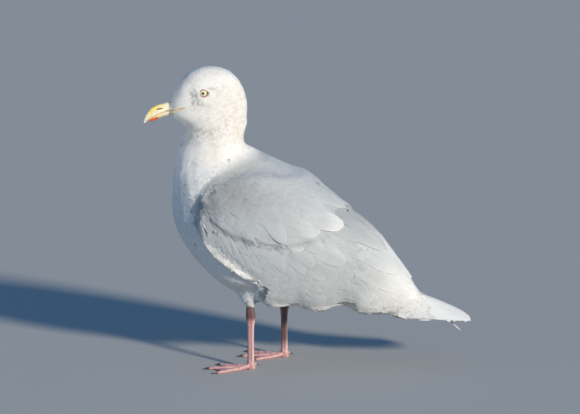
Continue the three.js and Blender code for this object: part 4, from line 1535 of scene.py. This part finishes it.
def from_nostril(x, z):
    """How far places in the side view lie from the nostril's slit."""
    start, end = np.array(NOSTRIL, float)
    slit = end - start
    x, z = x - start[0], z - start[1]
    along = np.clip((x * slit[0] + z * slit[1]) / (slit @ slit), 0, 1)
    return np.hypot(x - along * slit[0], z - along * slit[1])


def bill_colour(x, z, height, upper):
    """height is 0 at the top of each half and 1 at its lower edge."""
    colour = all_over(CREAM, len(x))
    ridge = smooth_step(0.75, 0.12, height) if upper else smooth_step(0.0, 0.8, height)
    front = smooth_step(-97, -112, x)
    colour = mix(colour, YELLOW, (0.18 + 0.78 * ridge) * (0.25 + 0.75 * front))
    colour = mix(colour, YELLOW, 0.8 * smooth_step(-113, -119, x) * (1 if upper else 0.3))
    if upper:
        colour = mix(colour, PALE_TIP, 0.85 * smooth_step(-117, -121.5, x))
    cutting = smooth_step(0.8, 0.98, height) if upper else smooth_step(0.22, 0.03, height)
    back = smooth_step(-103, -95, x)
    colour = mix(colour, GAPE_ORANGE, 0.85 * cutting * back)
    colour = mix(colour, GAPE_ORANGE, 0.25 * cutting)
    if upper:
        # painted shade: the nostril's opening is painted nearly black
        hole = smooth_step(0.95, 0.35, from_nostril(x, z))
        colour = mix(colour, NOSTRIL_SHADE, 0.97 * hole)
    else:
        ahead = x - RED_SPOT[0]
        above = z - RED_SPOT[1] - 0.42 * ahead
        spot = (ahead / RED_SPOT_HALF[0]) ** 2 + (above / RED_SPOT_HALF[1]) ** 2
        colour = mix(colour, GONYS_RED, 0.96 * smooth_step(1.35, 0.5, spot))
        colour = mix(colour, PALE_TIP, 0.8 * smooth_step(-117.6, -119.2, x))
    lines = 1 + 0.04 * np.sin(3.1 * height * 6 + 0.35 * x) * np.sin(0.21 * x + 2 * height)
    return colour * lines[:, None]


bill_trees = []


def make_bill():
    """Both halves of the bill."""
    for name, table, section in (
        ("bill_upper", BILL_UPPER, UPPER_SECTION),
        ("bill_lower", BILL_LOWER, LOWER_SECTION),
    ):
        upper = name == "bill_upper"
        (places, faces), share = bill_half(table, section)
        x, y, z = places.T
        height = np.append(np.tile(share, BILL_ROWS), [0.5, 0.5])
        if upper:
            hole = smooth_step(NOSTRIL_HALF * 1.9, NOSTRIL_HALF * 0.5, from_nostril(x, z))
            places[:, 1] -= np.sign(y) * hole * NOSTRIL_DEPTH * (np.abs(y) > 2)
        tint = bill_colour(x, z, height, upper)
        places = framed(places)
        bill_trees.append(BVHTree.FromPolygons(places.tolist(), faces.tolist()))
        piece = add_piece(f"{name}_horn", places, faces, HORN, tint, [name])


GAPE_ROWS = 70
GAPE_COLUMNS = 26
GAPE_START = 1.05  # it starts a little in front of the face, sunk in the bill
GAPE_ROUNDS = 3  # of smoothing along it


def outermost(places, side):
    """How far from the middle the face or the bill reaches, seen from one side."""
    reach = np.zeros(len(places))
    for k, place in enumerate(places):
        start = Vector((place[0], side * 0.1, place[2]))
        for tree in [form_tree] + bill_trees:
            hit = tree.ray_cast(start, Vector((0, -side, 0)), 0.1)[0]
            if hit is not None:
                reach[k] = max(reach[k], side * hit[1])
    return reach


def make_gape(side):
    """The bare edge of the bill that runs back through the cheek's feathers."""
    share = np.repeat(np.linspace(GAPE_START, 0.0, GAPE_ROWS), GAPE_COLUMNS)
    v = np.tile(np.linspace(-1, 1, GAPE_COLUMNS), GAPE_ROWS)
    x = GAPE_BACK[0] + (GAPE_FRONT[0] - GAPE_BACK[0]) * share
    middle = GAPE_BACK[1] + (GAPE_FRONT[1] - GAPE_BACK[1]) * share
    z = middle + v * (0.6 + np.where(v > 0, 4.0, 6.0) * share)
    spots = framed(np.stack([x, 0 * x, z], axis=1))
    reach = outermost(spots, side).reshape(GAPE_ROWS, GAPE_COLUMNS)
    for _ in range(GAPE_ROUNDS):
        reach[1:-1] = 0.25 * (reach[:-2] + 2 * reach[1:-1] + reach[2:])
    spots[:, 1] = side * reach.ravel()
    groove = np.exp(-((v / 0.07) ** 2))
    swell = 0.5 * (1 - v**2) - 0.5 - 0.5 * groove - 1.6 * smooth_step(0.8, 1.0, np.abs(v))
    places = spots + np.array([0, side * MM, 0]) * swell[:, None]
    colour = mix(all_over(CREAM, len(v)), YELLOW, 0.3 * smooth_step(0, -0.6, v))
    wide = 0.16 + 0.5 * smooth_step(0.5, 0.0, share)
    colour = mix(colour, GAPE_ORANGE, 0.85 * np.exp(-((v / wide) ** 2)))
    colour = mix(colour, GAPE_SLIT, 0.7 * np.exp(-((v / (0.3 * wide)) ** 2)))
    faces = grid_faces(GAPE_ROWS, GAPE_COLUMNS, closed=False)
    if side == LEFT:
        faces = faces[:, ::-1]
    piece = add_piece(f"gape_{SIDES[side]}", places, faces, HORN, colour)


make_bill()
for side in SIDES:
    make_gape(side)

# ------------------------------------------------------------------ the eyes
EYE_AHEAD = 0.10  # how much an eye looks forward as well as sideways
PUPIL_ANGLE = math.radians(13.5)
IRIS_ANGLE = math.radians(43)
GLOBE_RINGS = 48
EYE_AROUND = 72
GLOBE_ANGLE = math.radians(115)  # how far back from its front an eye is made
IRIS = np.array([0.76, 0.74, 0.46])
IRIS_INNER = [0.62, 0.56, 0.28]
IRIS_RIM = [0.30, 0.27, 0.15]
BLACK = [0.008, 0.008, 0.009]
LID_RED = [0.27, 0.05, 0.06]
LID_PINK = [0.50, 0.17, 0.16]
LID_PALE = [0.72, 0.66, 0.62]
LID_EDGE_DEPTH = 0.35  # how far under the feather tips the lids' outer skin lies
# The lids from their inner edge out: half length, half height, how far out of the globe.
LIDS = [
    [4.2, 3.4, -0.5], [4.45, 3.55, 0.05], [4.65, 3.75, 0.40], [4.95, 4.05, 0.5],
    [5.25, 4.4, 0.4], [5.6, 4.8, 0.25], [6.6, 5.8, 0.0], [9.0, 8.2, 0.0],
]
LID_ROWS = 40


def eye_frame(side):
    """An eye's name and centre, its radius, and its axes forward, up and out."""
    name = f"eye_{SIDES[side]}"
    low, high = (np.array(corner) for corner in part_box(name))
    out = unit(np.array([-EYE_AHEAD, side, 0.06]))
    up = unit(np.array([0, 0, 1]) - out * out[2])
    ahead = np.cross(up, out) * side
    centre = (low + high) / 2 + np.array([EYE_BACK, 0, -EYE_DOWN]) * MM
    return name, centre, (high[2] - low[2]) / 2, ahead, up, out


def make_globe(side):
    name, centre, radius, ahead, up, out = eye_frame(side)
    angle = np.linspace(0.0, GLOBE_ANGLE, GLOBE_RINGS)[1:, None]
    turn = turns(EYE_AROUND)
    bulge = 1 + 0.03 * smooth_step(IRIS_ANGLE * 1.05, PUPIL_ANGLE, angle)
    flat = radius * bulge * np.sin(angle)
    rings = (
        centre
        + (flat * np.cos(turn))[..., None] * ahead
        + (flat * np.sin(turn))[..., None] * up
        + (radius * bulge * np.cos(angle) * np.ones_like(turn))[..., None] * out
    )
    places, faces = loft(rings)
    angle = np.append((angle * np.ones_like(turn)).ravel(), [0, np.pi])
    turn = np.append((np.ones_like(rings[..., 0]) * turn).ravel(), [0, 0])
    ray = np.sin(turn * 23 + 2 * np.sin(turn * 7)) * np.sin(angle * 40)
    colour = IRIS * (1 + 0.07 * ray[:, None])
    colour = mix(colour, IRIS_INNER, 0.5 * smooth_step(0.33, 0.25, angle))
    colour = mix(colour, IRIS_RIM, smooth_step(0.86, 1.0, angle / IRIS_ANGLE))
    colour = mix(colour, BLACK, smooth_step(1.06, 0.97, angle / PUPIL_ANGLE))
    colour = mix(colour, BLACK, 0.8 * smooth_step(1.02, 1.12, angle / IRIS_ANGLE))
    piece = add_piece(f"{name}_globe", places, faces, EYE_WET, colour, [name])


def laid_on_face(rings, out):
    """Places moved along the eye's axis until they lie just under the form."""
    laid = rings.copy()
    flat = laid.reshape(-1, 3)
    for k, place in enumerate(flat):
        hit = form_tree.ray_cast(Vector(place + out * 0.02), Vector(-out))[0]
        if hit is not None:
            flat[k] = np.array(hit) - out * LID_EDGE_DEPTH * MM
    return laid


def make_lids(side):
    _, centre, radius, ahead, up, out = eye_frame(side)
    rows = curved(LIDS, LID_ROWS) * MM
    turn = turns(EYE_AROUND)
    half_long, half_high, stand = (rows[:, k, None] for k in range(3))
    corner = 1 + 0.07 * np.abs(np.cos(turn)) ** 6
    fold = 1 + 0.012 * np.sin(turn * 18) * smooth_step(4.4 * MM, 5.2 * MM, half_long)
    along = half_long * np.cos(turn) * corner * fold
    high = half_high * np.sin(turn) * fold
    deep = np.sqrt(np.maximum(radius**2 - along**2 - high**2, 0)) + stand
    rings = centre + along[..., None] * ahead + high[..., None] * up + deep[..., None] * out
    on_face = smooth_step(5.4, 6.4, half_long / MM)[..., None]
    rings = rings + (laid_on_face(rings, out) - rings) * on_face
    faces = grid_faces(LID_ROWS, EYE_AROUND, closed=True)
    if side == LEFT:
        faces = faces[:, ::-1]
    length = (half_long * np.ones_like(turn)).ravel() / MM
    colour = mix(all_over(LID_RED, len(length)), LID_PINK, 0.7 * smooth_step(4.7, 5.3, length))
    colour = mix(colour, LID_PALE, smooth_step(5.2, 5.7, length))
    grain = 1 + 0.06 * np.sin(turn * 31) * np.sin(half_long / MM * 9)
    colour = colour * grain.reshape(-1, 1)
    piece = add_piece(f"lids_{SIDES[side]}", rings.reshape(-1, 3), faces, LID_SKIN, colour)


for side in SIDES:
    make_globe(side)
    make_lids(side)

# ------------------------------------------------------------------ legs and feet
STANCE = 32
FOOT_X = {LEFT: 1, RIGHT: 40.5}
FOOT_TURN = {LEFT: 5, RIGHT: -3}
# Rows of the bare leg: ahead, inward, height, half length, half width.
SHANK = [
    [1.5, 0, 84, 3.5, 3.1], [0.8, 0, 74, 4.5, 3.6], [0.3, 0, 67, 5.5, 4.1],
    [0, 0, 61.5, 5.6, 4.2], [0.1, 0, 55.5, 4.7, 3.5], [0.2, 0, 49, 4, 2.9],
    [0.2, 0, 34, 3.8, 2.7], [0, 0, 18, 3.9, 2.8], [0, 0, 9.5, 4.2, 3.4],
    [-0.2, 0, 7, 4.6, 4.2], [-0.6, 0, 3, 5, 4.8], [-0.6, 0, -1, 4.4, 4.2],
]
# Toes: turn outwards in degrees, length, thickness.
TOES = {
    "inner": [-28, 40, 5.6], "middle": [0, 50, 6.0], "outer": [29, 48, 5.8],
    "hind": [200, 5, 3.6],
}
HIND_TOE_START = 3
HIND_TOE_Z = 6.6
TOE_TAPER = 0.42
JOINT_SHARES = {
    "inner": [0.36, 0.8], "middle": [0.3, 0.58, 0.84], "outer": [0.26, 0.46, 0.66, 0.86],
}
WEB_Z = 1.45
WEB_THICK = 1.15
CLAW_LENGTH = 6
CLAW_GAP = 0.3
CLAW_SUNK = 0.8  # how much of a claw lies in its toe
LEG_VOXEL = 0.5 * MM
SHIN_SCALE = 2.7  # from one cross scale to the next
TOE_SCALE = 2.3
PINK = [0.47, 0.225, 0.22]
PALE_PINK = [0.74, 0.55, 0.50]
DUSKY = [0.36, 0.20, 0.215]
MAUVE = [0.30, 0.13, 0.14]
# painted shadow: the colour of the body's shade on the leg's top and on the far leg
SHADOW_MAUVE = [0.09, 0.045, 0.04]
CLAW_ROOT = [0.10, 0.07, 0.06]
CLAW_TIP = [0.03, 0.025, 0.025]
TOE_AROUND, CLAW_AROUND, SHANK_AROUND = 20, 24, 40  # places in each ring


def toe_line(toe, side):
    """Where a toe's line starts, x and y, and its direction."""
    turn = math.radians(TOES[toe][0] + FOOT_TURN[side])
    heel = np.array([FOOT_X[side], side * STANCE])
    return heel, np.array([-math.cos(turn), side * math.sin(turn)])


def toe_places(toe, distance, side):
    heel, ahead = toe_line(toe, side)
    return heel + np.asarray(distance)[..., None] * ahead


def toe_rings(toe, side, distance, z, half, flatness, around):
    """Rings round a toe's line: z is the height of each one's middle, half its radius."""
    spots = toe_places(toe, distance, side)
    ahead = toe_line(toe, side)[1]
    across = np.array([ahead[1], -ahead[0]])
    angle = turns(around)
    wide = flatness * half[:, None] * np.cos(angle)
    rings = np.empty((len(distance), around, 3))
    rings[..., :2] = spots[:, None] + across * wide[..., None]
    rings[..., 2] = z[:, None] + half[:, None] * np.sin(angle)
    return rings


def toe_surface(toe, side):
    """A jointed toe, flat under its pads."""
    _, length, thick = TOES[toe]
    hind = toe == "hind"
    share = np.linspace(0, 1, 12 if hind else 90)
    half = (thick / 2) * (1 - TOE_TAPER * share)
    if hind:
        z = HIND_TOE_Z - 1.6 * share
    else:
        joints = sum(np.exp(-(((share - s) / 0.05) ** 2)) for s in JOINT_SHARES[toe])
        half = half * (1 + 0.14 * joints)
        z = half * 0.86 + 2.6 * (1 - share) ** 6
    half = half * np.sqrt(np.clip(1 - ((share - 0.93) / 0.075) ** 2 * (share > 0.93), 0.05, 1))
    distance = (HIND_TOE_START if hind else 0) + length * share
    return loft(toe_rings(toe, side, distance, z, half, 1, TOE_AROUND))


def web_surface(first, second, side):
    """A thin wrinkled web between two toes, with a hollow front edge."""
    share = np.linspace(0.02, 1, 60)[:, None]
    over = np.linspace(0, 1, 41)[None]
    pull = 1 - 0.2 * 4 * over * (1 - over) * share**3
    reach = [
        toe_places(toe, (TOES[toe][1] - 3) * share[:, 0], side)[:, None]
        for toe in (first, second)
    ]
    heel = toe_line(first, side)[0]
    spots = reach[0] * (1 - over[..., None]) + reach[1] * over[..., None]
    spots = heel + (spots - heel) * pull[..., None]
    slack = np.sin(np.pi * over)
    wrinkle = 0.16 * np.sin(over * 34 + 3 * share) * slack + 0.1 * np.sin(share * 30 + over * 5)
    z = WEB_Z + wrinkle + 0.7 * (1 - share) ** 3
    top = np.concatenate([spots, (z + WEB_THICK / 2)[..., None]], axis=2)
    low = np.concatenate([spots, (z - WEB_THICK / 2)[..., None]], axis=2)
    return loft(np.concatenate([top, low[:, ::-1]], axis=1))


def shank_surface(side):
    rows = curved(SHANK, 120)
    ahead, inward, z, deep, wide = (rows[:, k, None] for k in range(5))
    angle = turns(SHANK_AROUND)
    # a shallow groove on each side between the bone and the tendon behind it
    groove = 1 - 0.12 * np.exp(-((np.cos(angle) + 0.1) / 0.16) ** 2)
    x = FOOT_X[side] - ahead + deep * np.cos(angle)
    y = side * (STANCE - inward) + wide * np.sin(angle) * groove
    return loft(np.stack([x, y, z * np.ones_like(angle)], axis=2))


def toe_distances(places, side):
    """For each place, how far it is from the nearest front toe's line, and along it."""
    away, along = [], []
    for toe in JOINT_SHARES:
        heel, ahead = toe_line(toe, side)
        offset = places[:, :2] - heel
        distance = np.clip(offset @ ahead, 0, TOES[toe][1])
        away.append(np.linalg.norm(offset - distance[:, None] * ahead, axis=1))
        along.append(distance)
    nearest = np.argmin(away, axis=0)
    index = np.arange(len(places))
    return np.array(away)[nearest, index], np.array(along)[nearest, index]


def scute_relief(x, z, away, along, side):
    """Cross scales down the shin and over the toes, in millimetres."""
    shin = smooth_step(11, 16, z) * smooth_step(66, 60, z)
    front = smooth_step(FOOT_X[side] + 1.5, FOOT_X[side] - 2.0, x)
    saw = (z / SHIN_SCALE) % 1
    relief = 0.32 * shin * front * (saw - 0.5)
    toe_top = smooth_step(3.2, 2.0, away) * smooth_step(4, 9, along) * smooth_step(1.6, 3.2, z)
    relief += 0.26 * toe_top * (((along / TOE_SCALE) % 1) - 0.5) * (z < 12)
    return relief


def leg_colour(places, side):
    x, _, z = places.T
    ahead = FOOT_X[side] - x
    away, along = toe_distances(places, side)
    on_foot = smooth_step(13, 8, z)
    web = smooth_step(2.5, 3.8, away) * on_foot * smooth_step(9, 16, along)
    grain = speckle(places * MM, 700, 5)
    colour = mix(all_over(PINK, len(x)), PALE_PINK, np.clip(0.28 + 0.5 * grain, 0, 1))
    # painted highlight: the rear of the shank is paler, as if catching the sun
    behind = smooth_step(-1.2, -3.2, ahead) * (1 - on_foot)
    colour = mix(colour, PALE_PINK, 0.65 * behind)
    gap = np.exp(-(((ahead + 0.6) / 0.8) ** 2)) * (1 - on_foot) * smooth_step(60, 52, z)
    colour = mix(colour, MAUVE, 0.7 * gap)
    knee = np.exp(-(((z - 64) / 7) ** 2)) * (z > 40)
    colour = mix(colour, MAUVE, np.clip(0.7 * knee + 0.4 * smooth_step(66, 74, z), 0, 0.8))
    # painted shadow of the body over the top of the leg
    colour = mix(colour, SHADOW_MAUVE, 0.85 * smooth_step(57, 64, z))
    # painted shadow on the far leg, as if in the body's shade
    far_leg_shadow = 0.9 * (side == RIGHT) * smooth_step(10, 24, z)
    colour = mix(colour, SHADOW_MAUVE, far_leg_shadow * smooth_step(5, 2, np.abs(ahead)))
    colour = mix(colour, DUSKY, 0.78 * web)
    shin_edge = smooth_step(0.8, 1.0, (z / SHIN_SCALE) % 1) * smooth_step(-1, 1, ahead)
    shin_edge = shin_edge * smooth_step(11, 16, z) * smooth_step(64, 58, z)
    toe_edge = smooth_step(0.75, 1.0, (along / TOE_SCALE) % 1) * on_foot
    toe_edge = toe_edge * smooth_step(3.0, 2.2, away)
    colour = mix(colour, MAUVE, 0.3 * np.clip(shin_edge + toe_edge, 0, 1))
    sole = smooth_step(1.0, 0.2, z)
    return mix(colour, DUSKY, 0.5 * sole)


def make_leg(side):
    """One bare leg and foot, in one skin."""
    name = SIDES[side]
    parts = [shank_surface(side)] + [toe_surface(toe, side) for toe in TOES]
    parts += [web_surface("inner", "middle", side), web_surface("middle", "outer", side)]
    places, faces = joined(parts)
    places, faces = remeshed(places * MM, faces, LEG_VOXEL)
    places = smoothed(places, faces, 3) / MM
    away, along = toe_distances(places, side)
    relief = scute_relief(places[:, 0], places[:, 2], away, along, side)
    places = places + vertex_normals(places, faces) * relief[:, None]
    places[:, 2] = np.maximum(places[:, 2], 0)
    tint = leg_colour(places, side)
    replaced = [f"leg_{name}", f"foot_{name}"]
    piece = add_piece(f"leg_skin_{name}", framed(places), faces, LEG_SKIN, tint, replaced)


def make_claw(toe, side):
    _, length, thick = TOES[toe]
    hind = toe == "hind"
    long = CLAW_LENGTH * (0.6 if hind else 1) + CLAW_SUNK
    share = np.linspace(0, 1, 28)
    half = np.maximum(thick / 2 * 0.52 * (1 - share) ** 0.8, 0.2)
    start = (HIND_TOE_START if hind else 0) + length + CLAW_GAP - CLAW_SUNK
    z = (5.0 if hind else 2.3) - (2.2 if hind else 1.5) * share**2
    rings = toe_rings(toe, side, start + long * share, z, half, 0.8, CLAW_AROUND)
    rings[..., 2] = np.maximum(rings[..., 2], 0.05)
    places, faces = loft(rings)
    tone = np.append(np.repeat(share, CLAW_AROUND), [0, 1])
    colour = mix(all_over(CLAW_ROOT, len(tone)), CLAW_TIP, tone)
    node = f"claw_{SIDES[side]}_{toe}"
    piece = add_piece(f"{node}_horn", framed(places), faces, CLAW_HORN, colour, [node])


for side in SIDES:
    make_leg(side)
    for toe in TOES:
        make_claw(toe, side)
